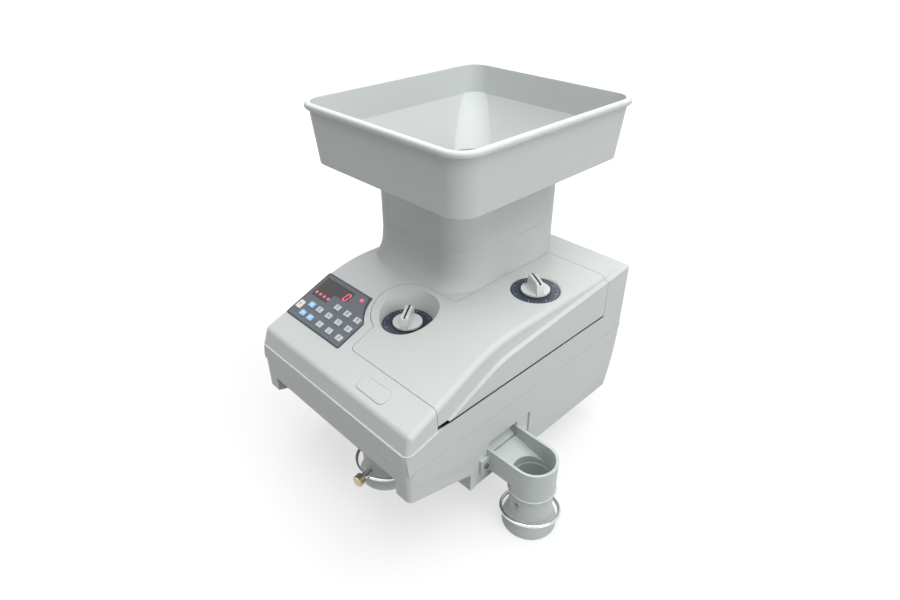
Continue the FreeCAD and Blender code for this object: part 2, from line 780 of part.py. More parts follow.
def lid_region(grow, low):
    """Everything above the lid's outline, drawn out by an amount."""
    right = side.value + 20
    front_y = lid_front.value - grow
    left = lid_left.value - grow
    neck_side = neck_x_limits[1] + lid_gap.value + 0.9 - grow
    rear_y = lid_rear.value + grow
    radius = lid_arc_radius.value + grow
    top_y = lid_arc_y.value + radius
    notch = Vector(left, lid_arc_y.value - math.sqrt(radius ** 2 - (left - lid_arc_x.value) ** 2), 0)
    turn = Vector(lid_arc_x.value - radius, lid_arc_y.value, 0)
    crest = Vector(lid_arc_x.value, top_y, 0)
    bend = lid_corner.value + grow
    ease = bend * (1 - math.sqrt(0.5))
    corners = [Vector(right, rear_y, 0), Vector(neck_side, rear_y, 0), Vector(neck_side, top_y, 0), crest]
    edges = [Part.makePolygon(corners).Edges]
    edges.append([Part.Arc(crest, turn, notch).toShape()])
    low_left = Vector(left, front_y + bend, 0)
    low_right = Vector(left + bend, front_y, 0)
    edges.append([Part.LineSegment(notch, low_left).toShape()])
    edges.append([Part.Arc(low_left, Vector(left + ease, front_y + ease, 0), low_right).toShape()])
    edges.append(Part.makePolygon([low_right, Vector(right, front_y, 0), Vector(right, rear_y, 0)]).Edges)
    wire = Part.Wire([edge for batch in edges for edge in batch])
    wire.translate(Vector(0, 0, low))
    return upright(wire, top_height.value + 100 - low)


def panel_prism(name, outline, low, high):
    """A tool solid standing on the sloped panel."""
    tool = panel_piece(name)
    tool.pad("XY", [outline], low, high)
    return tool.body


keypad_seat = panel_prism("keypad_seat", keypad_outline(size(0)), overlay_low, 6)
keypad_opening = panel_prism("keypad_opening", keypad_outline(size(1.3)), -9, 2)
release_hole = panel_prism("release_hole", release_outline(size(0.3)), -9, 6)
doc.recompute()
chamfer_points = [Vector(side.value + 0.2, lid_front.value - 0.3, lid_low.value - lid_slot.value),
                  Vector(side.value - 8, lid_front.value - 0.3, lid_low.value - lid_slot.value - 5.7),
                  Vector(side.value - 8, lid_front.value - 0.3, lid_low.value)]
swing_room = Part.Face(Part.makePolygon(chamfer_points + chamfer_points[:1]))
swing_room = swing_room.extrude(Vector(0, lid_rear.value - lid_front.value + 0.6, 0))
cover = shell.cut(lid_region(lid_gap.value / 2, lid_low.value - lid_slot.value))
for opening in (keypad_seat, keypad_opening, release_hole):
    cover = cover.cut(opening.Shape)
cover = cover.cut(swing_room)
node("upper_cover", feature("upper_cover", cover.removeSplitter()))

dial_radius = dim("dial_radius", 28)
dial_thick = dim("dial_thick", 2.5)
front_dial_x = dim("front_dial_x", 10)
front_dial_y = front + dim("front_dial_from_front", 108)
front_dial_z = dim("front_dial_z", 157)
rear_dial_x = dim("rear_dial_x", 85)
rear_dial_y = front + dim("rear_dial_from_front", 235)
rear_dial_z = top_height - dim("rear_dial_sink", 1.6)
well_rim = dim("well_rim", 36.5)
well_gap = dim("well_gap", 0.5)
well_floor = dim("well_floor", 3)
knob_shaft = dim("knob_shaft", 3)
hinge_x = side - dim("hinge_inset", 7)
hinge_z = lid_low + dim("hinge_rise", 2)
hinge_radius = dim("hinge_radius", 3)
pin_radius = dim("pin_radius", 1.5)
hinge_length = dim("hinge_length", 8)
hinge_spots = [lid_front + dim("hinge_front_from_lid", 38), lid_rear - dim("hinge_rear_from_lid", 30)]
guide_low = dim("guide_low", 135.5)
rack_low = dim("rack_low", 138)
rack_high = dim("rack_high", 144)
pinion_radius = dim("pinion_radius", 8)
rack_near = front_dial_y + pinion_radius + 0.3
rack_far = rack_near + dim("rack_thick", 4.7)
guide_x = (front_dial_x + 12, front_dial_x + 20)


def cylinder(radius, low, high, x, y):
    """An upright cylinder from plain values."""
    return Part.makeCylinder(radius, high - low, Vector(x, y, low))


def block(x, y, z):
    """A block from plain limits."""
    return Part.makeBox(x[1] - x[0], y[1] - y[0], z[1] - z[0], Vector(x[0], y[0], z[0]))


front_seat = front_dial_z.value - dial_thick.value
rear_seat = rear_dial_z.value - dial_thick.value
seat_radius = dial_radius.value + well_gap.value
well_height = top_height.value + 2 - front_seat
well_skin = Part.makeCone(seat_radius + wall.value, well_rim.value + wall.value, well_height,
                          Vector(front_dial_x.value, front_dial_y.value, front_seat))
well_bottom = cylinder(seat_radius + wall.value, front_seat - well_floor.value, front_seat,
                       front_dial_x.value, front_dial_y.value)
well_space = Part.makeCone(seat_radius, well_rim.value, well_height,
                           Vector(front_dial_x.value, front_dial_y.value, front_seat))
rear_bottom = cylinder(seat_radius + wall.value, rear_seat - well_floor.value, top_height.value - 1,
                       rear_dial_x.value, rear_dial_y.value)
rear_space = cylinder(seat_radius, rear_seat, top_height.value + 5, rear_dial_x.value, rear_dial_y.value)
rear_bevel = Part.makeCone(seat_radius, seat_radius + 2.5, 1.8,
                           Vector(rear_dial_x.value, rear_dial_y.value, top_height.value - 1.5))
shaft_holes = [cylinder(knob_shaft.value + fit_gap.value, seat - 20, seat + 1, x.value, y.value)
               for seat, x, y in ((front_seat, front_dial_x, front_dial_y), (rear_seat, rear_dial_x, rear_dial_y))]
guide = block((guide_x[0].value, guide_x[1].value), (rack_near.value - 5, rack_far.value + 5),
              (guide_low.value, front_seat - 1))
guide_slot = block((guide_x[0].value - 1, guide_x[1].value + 1), (rack_near.value - 0.2,
                                                                  rack_far.value + 0.25),
                   (rack_low.value - 0.25, rack_high.value + 0.25))
lid = outer.cut(inner).fuse(well_skin.common(outer)).fuse(well_bottom.common(outer)).fuse(rear_bottom)
lid = lid.fuse(guide)
lid = lid.cut(well_space).cut(rear_space).cut(rear_bevel).cut(guide_slot)
lid = lid.cut(neck_prism(0, collar_low - 40, neck_seam.value))
lid = lid.common(lid_region(-lid_gap.value / 2, lid_low.value).fuse(guide))
for hole in shaft_holes:
    lid = lid.cut(hole)
for spot in hinge_spots:
    start = spot.value + hinge_length.value / 2 + 0.3
    knuckle = Part.makeCylinder(hinge_radius.value, hinge_length.value, Vector(hinge_x.value, start,
                                                                               hinge_z.value),
                                Vector(0, 1, 0))
    arm = block((hinge_x.value, side.value - wall.value + 0.5), (start, start + hinge_length.value),
                (lid_low.value + 0.1, hinge_z.value + hinge_radius.value))
    bore = Part.makeCylinder(pin_radius.value + fit_gap.value, hinge_length.value + 2,
                             Vector(hinge_x.value, start - 1, hinge_z.value), Vector(0, 1, 0))
    lid = lid.fuse(knuckle).fuse(arm).cut(bore)
node("lid", feature("lid", lid.removeSplitter()))

brackets = []
pins = []
for number, spot in enumerate(hinge_spots):
    low, high = spot - hinge_length / 2, spot + hinge_length / 2
    knuckle = rod(f"bracket_knuckle{number}", hinge_radius, (low, high), hinge_x, 0, hinge_z, axis="Y")
    foot = box(f"bracket_foot{number}", (hinge_x - 17, hinge_x), (low, high), (deck_top,
                                                                               hinge_z + hinge_radius))
    bore = rod(f"bracket_bore{number}", pin_radius + fit_gap / 5, (low - 1, high + 1), hinge_x, 0, hinge_z,
               axis="Y")
    brackets.append(cut(f"bracket{number}", fuse(f"bracket_body{number}", knuckle, foot), bore))
    pins.append(rod(f"hinge_pin{number}", pin_radius, (low + 0.5, high + hinge_length), hinge_x, 0, hinge_z,
                    axis="Y"))
node("hinge_brackets", group("hinge_brackets", brackets))
node("hinge_pins", group("hinge_pins", pins))

# Hopper: a tray with a rolled rim, a sloping floor and a neck that drops into the collar
rim_width = dim("rim_width", 260)
rim_depth = dim("rim_depth", 290)
rim_top = dim("rim_top", 364)
rim_height = dim("rim_height", 7)
rim_reach = dim("rim_reach", 4)
rim_radius = dim("rim_radius", 28)
tray_low = dim("tray_low", 296)
tray_draft = dim("tray_draft", 5)
floor_edge = dim("floor_edge", 330)
floor_throat = dim("floor_throat", 272)
spigot_depth = dim("spigot_depth", 8)
spigot_gap = dim("spigot_gap", 0.3)


def level_sketch(name, inset_x, inset_y, radius, z, width=rim_width, depth=rim_depth):
    """A rounded rectangle about the neck's middle, drawn in from a width and depth."""
    sketch = doc.addObject("Sketcher::SketchObject", name)
    half_x = width / 2 - inset_x
    half_y = depth / 2 - inset_y
    draw(sketch, rounded((neck_x - half_x, neck_x + half_x), (neck_y - half_y, neck_y + half_y), radius))
    return place(sketch, 0, 0, z)


def loft(name, sketches):
    """A solid drawn straight through level outlines."""
    solid = doc.addObject("Part::Loft", name)
    solid.Sections = sketches
    solid.Solid = True
    solid.Ruled = True
    return solid


def tray(name, inset, low, high):
    """The tray's leaning walls, drawn in by an amount."""
    lean = tray_draft / (rim_top - tray_low)
    low_inset = rim_reach + inset + lean * (rim_top - low)
    high_inset = rim_reach + inset + lean * (rim_top - high)
    return loft(name, [
        level_sketch(name + "_low", low_inset, low_inset, rim_radius - rim_reach - inset, low),
        level_sketch(name + "_high", high_inset, high_inset, rim_radius - rim_reach - inset, high)])


def neck_block(name, inset, low, high):
    """The neck's outline, drawn in by an amount, between two levels."""
    prism = Piece(name)
    half_x = neck_width / 2 - inset
    half_y = neck_depth / 2 - inset
    prism.pad("XY", [rounded((neck_x - half_x, neck_x + half_x), (neck_y - half_y, neck_y + half_y),
                             neck_radius - inset)], low, high)
    return prism.body


def funnel(name, drop, inset, top):
    """The sloping floor's upper or lower side as a solid above it."""
    lean = tray_draft / (rim_top - tray_low)
    edge_inset = rim_reach + wall / 2 + lean * (rim_top - floor_edge)
    return loft(name, [
        level_sketch(name + "_throat", inset, inset, neck_radius - inset, floor_throat - drop, neck_width,
                     neck_depth),
        level_sketch(name + "_edge", edge_inset, edge_inset, rim_radius - rim_reach, top)])


rim = Piece("hopper_rim")
rim.pad("XY", [rounded((neck_x - rim_width / 2, neck_x + rim_width / 2),
                       (neck_y - rim_depth / 2, neck_y + rim_depth / 2), rim_radius)], rim_top - rim_height, rim_top)
rim.round_edges(dim("rim_round", 3), lambda edge: edge.BoundBox.ZLength < 0.01)
tray_walls = cut("tray_walls", fuse("tray_solid", tray("tray_outer", size(0), tray_low, rim_top - 1),
                                    rim.body),
                 tray("tray_inner", wall, tray_low - 1, rim_top + 1))
hopper_floor = cut("hopper_floor", funnel("floor_under", wall + 1, size(0), floor_edge - 1),
                   funnel("floor_upper", size(0), wall, floor_edge))
hopper_neck = fuse("hopper_neck_solid", neck_block("hopper_neck", size(0), neck_seam + 0.15, floor_throat),
                   neck_block("hopper_spigot", wall + spigot_gap, neck_seam - spigot_depth, neck_seam + 4))
throat = fuse("hopper_throat", neck_block("neck_bore", wall, neck_seam + 6, floor_throat + 5),
              neck_block("spigot_bore", wall * 2 + spigot_gap, neck_seam - spigot_depth - 1, neck_seam + 8))
hopper_solid = cut("hopper_solid", fuse("hopper_body", tray_walls, hopper_floor, hopper_neck), throat)
node("hopper", hopper_solid)

# Dials: a fixed scale and a knob with a grip ridge on each
knob_radius = dim("knob_radius", 16.5)
knob_base = dim("knob_base", 2.6)
grip_height = dim("grip_height", 13)
grip_thick = dim("grip_thick", 8.5)
grip_slot = dim("grip_slot", 2.2)
front_knob_turn = dim("front_knob_turn", 125)
rear_knob_turn = dim("rear_knob_turn", 150)


def dial(label, x, y, z, turn, shaft_low):
    """The scale and knob of one dial; gives back the knob's body."""
    plate = rod(f"scale_{label}_disc", dial_radius, (z - dial_thick, z), x, y)
    hole = rod(f"scale_{label}_hole", knob_shaft + 1, (z - dial_thick - 1, z + 1), x, y)
    node(f"dial_scale_{label}", cut(f"dial_scale_{label}", plate, hole))
    knob = Piece(f"dial_knob_{label}", x, y, z, angle=turn)
    top = knob_base + grip_height
    reach = knob_radius - 0.8
    knob.pad("XY", [circle(0, 0, knob_radius)], 0.3, knob_base)
    knob.pad("XZ", [[
        (-reach, knob_base - 0.5),
        (reach, knob_base - 0.5),
        (reach, knob_base + 2),
        (reach - 2, top - 4, 4),
        (reach - 6, top),
        (6 - reach, top, 4),
        (2 - reach, top - 4),
        (-reach, knob_base + 2),
    ]], -grip_thick / 2, grip_thick / 2)
    knob.pocket("XZ", [rectangle((2.5 - reach, reach - 2.5), (top - 1.8, top + 1))], -grip_slot / 2,
                grip_slot / 2)
    knob.pad("XY", [circle(0, 0, knob_shaft)], shaft_low - z, size(0.5))
    return knob


pinion_low = rack_low + 1.4
front_knob = dial("front", front_dial_x, front_dial_y, front_dial_z, front_knob_turn, pinion_low)
front_knob.pad("XY", [circle(0, 0, pinion_radius)], pinion_low - front_dial_z, rack_high + 2 - front_dial_z)
node("dial_knob_front", front_knob.body)
gate_low = dim("gate_low", 133)
gate_arm = dim("gate_arm", 6)
gate_stem_high = dim("gate_stem_high", 160)
gate_stem = dim("gate_stem", 6)
gate_tip_x = dim("gate_tip_x", 36.5)
rear_knob = dial("rear", rear_dial_x, rear_dial_y, rear_dial_z, rear_knob_turn, gate_low + gate_arm + 5)
node("dial_knob_rear", rear_knob.body)

gate = Piece("thickness_gate")
gate.pad("XY", [rectangle((gate_tip_x, rear_dial_x), (rear_dial_y - gate_arm, rear_dial_y + gate_arm))],
         gate_low, gate_low + gate_arm)
gate.pad("XY", [circle(rear_dial_x, rear_dial_y, gate_stem)], gate_low, gate_stem_high)
gate.pocket("XY", [circle(rear_dial_x, rear_dial_y, knob_shaft + fit_gap)], gate_low + 2, gate_stem_high + 1)
node("thickness_gate", gate.body)

# Coin path on the deck
rail_face = dim("rail_face", 50)
rail_thick = dim("rail_thick", 4)
rail_near = front + dim("rail_near_from_front", 58)
rail_far = front + dim("rail_far_from_front", 226)
slider_face = dim("slider_face", 14)
slider_near = front + dim("slider_near_from_front", 70)
slider_far = front + dim("slider_far_from_front", 142)
slot_near = outlet_y - outlet_width / 2
slot_far = outlet_y + outlet_width / 2
slider = Piece("diameter_rail")
slider.pad("XY", [rectangle((slider_face - rail_thick, slider_face), (slider_near, slider_far))],
           deck_top + 1, rack_low + 1)
slider.pad("XY", [rectangle((slider_face - rail_thick, slider_face + 3), (slider_near, slider_far))],
           deck_top + 0.4, deck_top + 1.2)
slider.pad("XY", [rectangle((front_dial_x - 20, front_dial_x + 16), (rack_near, rack_far))], rack_low,
           rack_high)
node("diameter_rail", slider.body)

deck = Piece("deck_plate")
deck_side = side - dim("deck_inset", 12)
deck_near = front + dim("deck_near_from_front", 52)
deck_far = body_depth / 2 - dim("deck_far_inset", 15)
bearing_radius = dim("bearing_radius", 20)
deck.pad("XY", [rounded((-deck_side, deck_side), (deck_near, deck_far), 8)], deck_bottom, deck_top)
deck.pocket("XY", [circle(neck_x, neck_y, bearing_radius + fit_gap)], deck_bottom - 1, deck_top + 1)
deck.pocket("XY", [rectangle((slider_face + 6, rail_face - 4), (slot_near, slot_far))], deck_bottom - 1,
            deck_top + 1)
deck.pocket("XY", [circle(x, y, screw_radius + 0.3) for x, y in post_spots], deck_bottom - 1, deck_top + 1)
node("deck_plate", deck.body)

posts = []
screws = []
screw_depth = dim("screw_depth", 20)
for number, (x, y) in enumerate(post_spots):
    column = rod(f"post_column{number}", post_radius, (post_foot, deck_bottom), x, y)
    low_hole = rod(f"post_low_hole{number}", screw_radius + fit_gap, (post_foot - 1,
                                                                      post_foot + screw_depth), x, y)
    high_hole = rod(f"post_high_hole{number}", screw_radius + fit_gap, (deck_bottom - screw_depth,
                                                                        deck_bottom + 1), x, y)
    posts.append(cut(f"post{number}", column, low_hole, high_hole))
    for label, head, shank in (("low", (0.5, 4), (3, post_foot + screw_depth - 2)),
                               ("high", (deck_top, deck_top + 3), (deck_bottom - screw_depth + 2, deck_top + 1))):
        cap = rod(f"screw_{label}_head{number}", screw_head, head, x, y)
        stem = rod(f"screw_{label}_stem{number}", screw_radius, shank, x, y)
        screws.append(fuse(f"screw_{label}{number}", cap, stem))
node("deck_posts", group("deck_posts", posts))
node("deck_screws", group("deck_screws", screws))

# Feed: a bowl under the neck, a turning disc, its shaft, bearing and gear motor
disc_radius = dim("disc_radius", 72)
disc_low = dim("disc_low", 130)
disc_thick = dim("disc_thick", 4)
bowl_gap = dim("bowl_gap", 2)
bowl_skin = dim("bowl_skin", 4)
bowl_turn_z = dim("bowl_turn_z", 150)
bowl_top = top_height - 7
shaft_radius = dim("shaft_radius", 6)
bowl_bore = disc_radius + bowl_gap
bowl_block = neck_block("bowl_block", wall + spigot_gap, bowl_turn_z, bowl_top)
bowl_ring = rod("bowl_ring", bowl_bore + bowl_skin, (deck_top + 0.1, bowl_turn_z + 1), neck_x, neck_y)
bowl_cone = rod("bowl_cone", bowl_bore, (bowl_turn_z, bowl_top + 1), neck_x, neck_y,
                end_radius=bowl_bore + 30)
bowl_cavity = common("bowl_cavity", bowl_cone, neck_block("bowl_mouth", wall + spigot_gap + 3,
                                                          bowl_turn_z - 1, bowl_top + 2))
bowl_drum = rod("bowl_drum", bowl_bore, (deck_top - 1, bowl_turn_z + 0.01), neck_x, neck_y)
bowl_exit = box("bowl_exit", (neck_x + 40, neck_x + disc_radius + 20), (neck_y - disc_radius - 10, neck_y),
                (deck_top - 1, gate_low + 2))
node("feed_bowl", cut("feed_bowl", fuse("bowl_solid", bowl_block, bowl_ring), bowl_cavity, bowl_drum,
                      bowl_exit))

disc = Piece("feed_disc", neck_x, neck_y, disc_low)
disc.revolve([
    (shaft_radius + fit_gap / 5, 0),
    (disc_radius, 0),
    (disc_radius, disc_thick),
    (shaft_radius + 16, disc_thick),
    (shaft_radius + 4, disc_thick + 8, 6),
    (shaft_radius + fit_gap / 5, disc_thick + 11),
])
for number in range(3):
    angle = math.radians(120 * number)
    reach = [(26, -2), (62, -2), (62, 2), (26, 2)]
    outline = [(u * math.cos(angle) - v * math.sin(angle), u * math.sin(angle) + v * math.cos(angle)) for u,
               v in reach]
    disc.pad("XY", [outline], disc_thick - 0.5, disc_thick + 2.5)
node("feed_disc", disc.body)
motor_top = dim("motor_top", 116)
node("feed_shaft", rod("feed_shaft", shaft_radius, (motor_top - 12, disc_low + disc_thick + 8), neck_x,
                       neck_y))

bearing = Piece("feed_bearing", neck_x, neck_y)
bearing.revolve([
    (shaft_radius + fit_gap, deck_bottom - 4),
    (bearing_radius + 6, deck_bottom - 4),
    (bearing_radius + 6, deck_bottom),
    (bearing_radius, deck_bottom),
    (bearing_radius, deck_top),
    (shaft_radius + fit_gap, deck_top),
])
node("feed_bearing", bearing.body)

motor_radius = dim("motor_radius", 36)
gearbox_half = dim("gearbox_half", 40)
motor = Piece("feed_motor", neck_x, neck_y)
motor.pad("XY", [circle(0, 0, motor_radius)], 28, motor_top - 23)
motor.pad("XY", [rounded((-gearbox_half, gearbox_half), (-gearbox_half, gearbox_half), 8)], motor_top - 24,
          motor_top)
motor.pad("XY", [circle(x, y, 5) for x in (8 - gearbox_half, gearbox_half - 8) for y in (8 - gearbox_half,
                                                                                         gearbox_half - 8)],
          motor_top - 1, deck_bottom)
motor.pocket("XY", [circle(0, 0, shaft_radius + fit_gap)], motor_top - 14, motor_top + 1)
node("feed_motor", motor.body)

# Belt that draws the coins along the path
belt_x = (rail_face - 9.2, rail_face - 2.8)
pulley_radius = dim("pulley_radius", 8)
belt_thick = dim("belt_thick", 1.4)
belt_gap = dim("belt_gap", 0.3)
belt_z = deck_top + dim("belt_rise", 3) + belt_thick + belt_gap + pulley_radius
belt_far = front + dim("belt_far_from_front", 210)
belt_near = front + dim("belt_near_from_front", 82)
axle_radius = dim("axle_radius", 2)
guide_rail = Piece("coin_rail")
guide_rail.pad("XY", [rectangle((rail_face, rail_face + rail_thick), (rail_near, rail_far))], deck_top,
               belt_z + 6)
guide_rail.pocket("YZ", [circle(y, belt_z, axle_radius + fit_gap) for y in (belt_near, belt_far)],
                  rail_face - 1, rail_face + rail_thick + 1)
node("coin_rail", guide_rail.body)


def stadium(grow):
    """The outline round both pulleys, seen from the side."""
    radius = pulley_radius + grow
    return [(belt_near, belt_z - radius), (belt_far, belt_z - radius, radius), (belt_far + radius, belt_z,
                                                                                radius),
            (belt_far, belt_z + radius), (belt_near, belt_z + radius, radius), (belt_near - radius, belt_z, radius)]


belt = Piece("coin_belt")
belt.pad("YZ", [stadium(belt_gap + belt_thick), stadium(belt_gap)], belt_x[0], belt_x[1])
node("coin_belt", belt.body)
for label, y, reach in (("drive", belt_far, 16), ("idler", belt_near, rail_thick.value + 2)):
    wheel = Piece(f"belt_{label}_pulley")
    wheel.pad("YZ", [circle(y, belt_z, pulley_radius)], belt_x[0] - 0.4, belt_x[1] + 0.4)
    wheel.pad("YZ", [circle(y, belt_z, axle_radius)], belt_x[1] - 1, rail_face + reach)
    node(f"belt_{label}_pulley", wheel.body)

belt_motor_radius = dim("belt_motor_radius", 12)
belt_motor = Piece("belt_motor")
motor_x = (rail_face + 8.5, rail_face + 50)
belt_motor.pad("YZ", [circle(belt_far, belt_z, belt_motor_radius)], motor_x[0], motor_x[1])
belt_motor.pad("XY", [rectangle((motor_x[0] + 4, motor_x[1] - 4), (belt_far - 9, belt_far + 9))], deck_top,
               belt_z - 6)
belt_motor.pocket("YZ", [circle(belt_far, belt_z, axle_radius + fit_gap)], motor_x[0] - 1, motor_x[0] + 9)
node("belt_motor", belt_motor.body)

sensor_y = (rail_near + 1, rail_near + 9)
sensor = Piece("count_sensor")
sensor.pad("XZ", [[
    (rail_face - 26, deck_top + 9),
    (rail_face - 5, deck_top + 9),
    (rail_face - 5, deck_top),
    (rail_face - 0.1, deck_top),
    (rail_face - 0.1, deck_top + 15),
    (rail_face - 26, deck_top + 15),
]], sensor_y[0], sensor_y[1])
node("count_sensor", sensor.body)

# Slide from the slot in the deck to the side outlet
slide_start = slider_face + 5
slide_end = side - wall - 0.3
slide_high = deck_bottom - 6
slide_low = outlet_low + 17
slide_wall = dim("slide_wall", 2)
slide = Piece("reject_slide")
slide.pad("XZ", [[
    (slide_start, slide_high - slide_wall * 2),
    (slide_end, slide_low - slide_wall * 2),
    (slide_end, slide_low + 18),
    (rail_face + 4, deck_bottom - 0.1),
    (slide_start, deck_bottom - 0.1),
]], slot_near - slide_wall + 2.2, slot_far + slide_wall - 2.2)
slide.pocket("XZ", [[
    (slide_start + slide_wall, slide_high - slide_wall),
    (slide_end + 1, slide_low - slide_wall * 0.4),
    (slide_end + 1, slide_low + 30),
    (slide_end - 8, deck_bottom + 2),
    (slide_start + slide_wall, deck_bottom + 2),
]], slot_near + 2.2, slot_far - 2.2)
node("reject_slide", slide.body)

funnel_high = deck_bottom - 2
funnel_low = apron_height + wall + 0.2
mouth_x = (slider_face, rail_face + 4)
mouth_y = (front + 13, deck_near - 2)
throat_half = dim("throat_half", 15.5)


def coin_funnel(name, grow):
    """The funnel's outside or inside as a solid."""
    sections = []
    for label, x, y, z in (("mouth", mouth_x, mouth_y, funnel_high),
                           ("end", (front_tube_x - throat_half, front_tube_x + throat_half),
                            (front_tube_y - throat_half, front_tube_y + throat_half), funnel_low)):
        sketch = doc.addObject("Sketcher::SketchObject", f"{name}_{label}")
        draw(sketch, rectangle((x[0] - grow, x[1] + grow), (y[0] - grow, y[1] + grow)))
        sections.append(place(sketch, 0, 0, z))
    return loft(name, sections)


node("front_funnel", cut("front_funnel", coin_funnel("funnel_outside", size(2)), coin_funnel("funnel_inside",
                                                                                             size(0))))

# Side outlet: an open trough on the wall, a tube, a sleeve and its bag ring
trough_x = side + dim("trough_reach", 43)
trough_radius = dim("trough_radius", 26)
trough_wall = dim("trough_wall", 3)
trough_rim = dim("trough_rim", 45.3)
trough_floor_in = dim("trough_floor_in", 33)
trough_floor_out = dim("trough_floor_out", 22)
tube_low = dim("tube_low", 3.2)
sleeve_radius = dim("sleeve_radius", 24.5)
sleeve_low = dim("sleeve_low", -50)
sleeve_socket = dim("sleeve_socket", 12)
flare_radius = dim("flare_radius", 31)
ear_reach = dim("ear_reach", 11)
ear_thick = dim("ear_thick", 4)
ear_high = dim("ear_high", 36)
wall_face = side - crease_step - recess_depth


def trough(name, inset, low, high):
    """The trough's round-ended outline, drawn in by an amount."""
    prism = Piece(name)
    radius = trough_radius - inset
    start = wall_face if inset.value == 0 else wall_face - 2
    prism.pad("XY", [[(start, outlet_y - radius), (trough_x, outlet_y - radius, radius), (trough_x + radius,
                                                                                          outlet_y, radius),
                      (trough_x, outlet_y + radius), (start, outlet_y + radius)]], low, high)
    return prism.body


floor_wedge = Piece("trough_space")
floor_wedge.pad("XZ", [[
    (wall_face - 3, trough_floor_in),
    (trough_x + trough_radius, trough_floor_out - 9),
    (trough_x + trough_radius, trough_rim + 5),
    (wall_face - 3, trough_rim + 5),
]], outlet_y - trough_radius, outlet_y + trough_radius)
trough_space = common("trough_cavity", trough("trough_inside", trough_wall, outlet_low - 5, trough_rim + 5),
                      floor_wedge.body)
trough_tube = rod("trough_tube", trough_radius, (tube_low, outlet_low + 1), trough_x, outlet_y)
trough_bore = rod("trough_bore", trough_radius - trough_wall, (tube_low - 1, trough_rim + 4), trough_x,
                  outlet_y)
trough_socket = rod("trough_socket", sleeve_radius + 0.1, (tube_low - 1, tube_low + sleeve_socket), trough_x,
                    outlet_y)
ears = []
ear_holes = []
ear_z = (ear_high + outlet_low) / 2
ear_spots = [outlet_y - trough_radius - ear_reach / 2, outlet_y + trough_radius + ear_reach / 2]
for number, y in enumerate(ear_spots):
    ears.append(box(f"ear{number}", (wall_face, wall_face + ear_thick), (y - ear_reach / 2 - 1,
                                                                         y + ear_reach / 2 + 1),
                    (outlet_low, ear_high)))
    ear_holes.append(rod(f"ear_hole{number}", 1.7, (wall_face - 1, wall_face + ear_thick + 1), 0, y, ear_z,
                         axis="X"))
chute_solid = fuse("chute_solid", trough("trough_outside", size(0), outlet_low, trough_rim), trough_tube,
                   *ears)
node("side_chute", cut("side_chute", chute_solid, trough_space, trough_bore, trough_socket, *ear_holes))

sleeve_top = tube_low + sleeve_socket - 0.2
sleeve = Piece("side_sleeve", trough_x, outlet_y)
sleeve.revolve([
    (tube_bore, sleeve_low),
    (flare_radius, sleeve_low),
    (flare_radius, sleeve_low + 6),
    (sleeve_radius, sleeve_low + 24),
    (sleeve_radius, sleeve_top),
    (tube_bore, sleeve_top),
])
node("side_sleeve", sleeve.body)

ring_radius = dim("ring_radius", 33)
wire_radius = dim("wire_radius", 2)
ring_height = dim("ring_height", -30)
ring_tilt = dim("ring_tilt", 11.75)
ring_shift = dim("ring_shift", 1.3)


def wire_ring(name, x, y, z, axis, angle):
    """A ring of round wire."""
    ring = doc.addObject("Part::Torus", name)
    ring.setExpression("Radius1", ring_radius.text)
    ring.setExpression("Radius2", wire_radius.text)
    return place(ring, x, y, z, axis, angle)


node("side_ring", wire_ring("side_ring", trough_x + 0.58 * ring_shift, outlet_y - 0.82 * ring_shift,
                            ring_height,
                            (-0.817, -0.577, 0), ring_tilt))

bolts = []
for number, y in enumerate(ear_spots):
    head = rod(f"ear_screw_head{number}", 3.2, (wall_face + ear_thick, wall_face + ear_thick + 2.4), 0, y,
               ear_z, axis="X")
    stem = rod(f"ear_screw_stem{number}", 1.6, (wall_face + 0.1, wall_face + ear_thick + 1), 0, y, ear_z,
               axis="X")
    bolts.append(fuse(f"ear_screw{number}", head, stem))
sleeve_screw_z = dim("sleeve_screw_z", -9)
bolts.append(rod("sleeve_screw", 2.6, (outlet_y - sleeve_radius - 2.2, outlet_y - sleeve_radius), trough_x, 0,
                 sleeve_screw_z, axis="Y"))
node("chute_screws", group("chute_screws", bolts))

# Front outlet under the overhang, with its bag ring and thumb screw
front_tube_low = dim("front_tube_low", 4)
front_tube_radius = dim("front_tube_radius", 25)
flange_radius = dim("flange_radius", 31)
front_ring_z = dim("front_ring_z", 25)
outlet = Piece("front_outlet", front_tube_x, front_tube_y)
outlet.revolve([
    (tube_bore, front_tube_low),
    (flare_radius - 1, front_tube_low),
    (flare_radius - 1, front_tube_low + 5),
    (front_tube_radius, front_tube_low + 14),
    (front_tube_radius, apron_height - wall),
    (flange_radius, apron_height - wall),
    (flange_radius, apron_height - 0.1),
    (tube_bore, apron_height - 0.1),
])
node("front_outlet", outlet.body)

thumb_radius = dim("thumb_radius", 6.5)
thumb_length = dim("thumb_length", 9)
thumb_turn = dim("thumb_turn", 278)
boss_radius = dim("boss_radius", 4.2)
thumb_stem = dim("thumb_stem", 2.2)


def radial_rod(name, radius, inner_end, outer_end):
    """A cylinder that points away from the front tube at the thumb screw's angle."""
    bar = doc.addObject("Part::Cylinder", name)
    bar.setExpression("Radius", size(radius).text)
    bar.setExpression("Height", (size(outer_end) - inner_end).text)
    heading = math.radians(thumb_turn.value)
    turn = FreeCAD.Rotation(Vector(0, 0, 1), Vector(math.cos(heading), math.sin(heading), 0))
    bar.Placement = FreeCAD.Placement(Vector(0, 0, 0), turn)
    bar.setExpression("Placement.Base.x", (front_tube_x + size(inner_end) * cosine(thumb_turn)).text)
    bar.setExpression("Placement.Base.y", (front_tube_y + size(inner_end) * cosine(thumb_turn - 90)).text)
    bar.setExpression("Placement.Base.z", front_ring_z.text)
    return bar


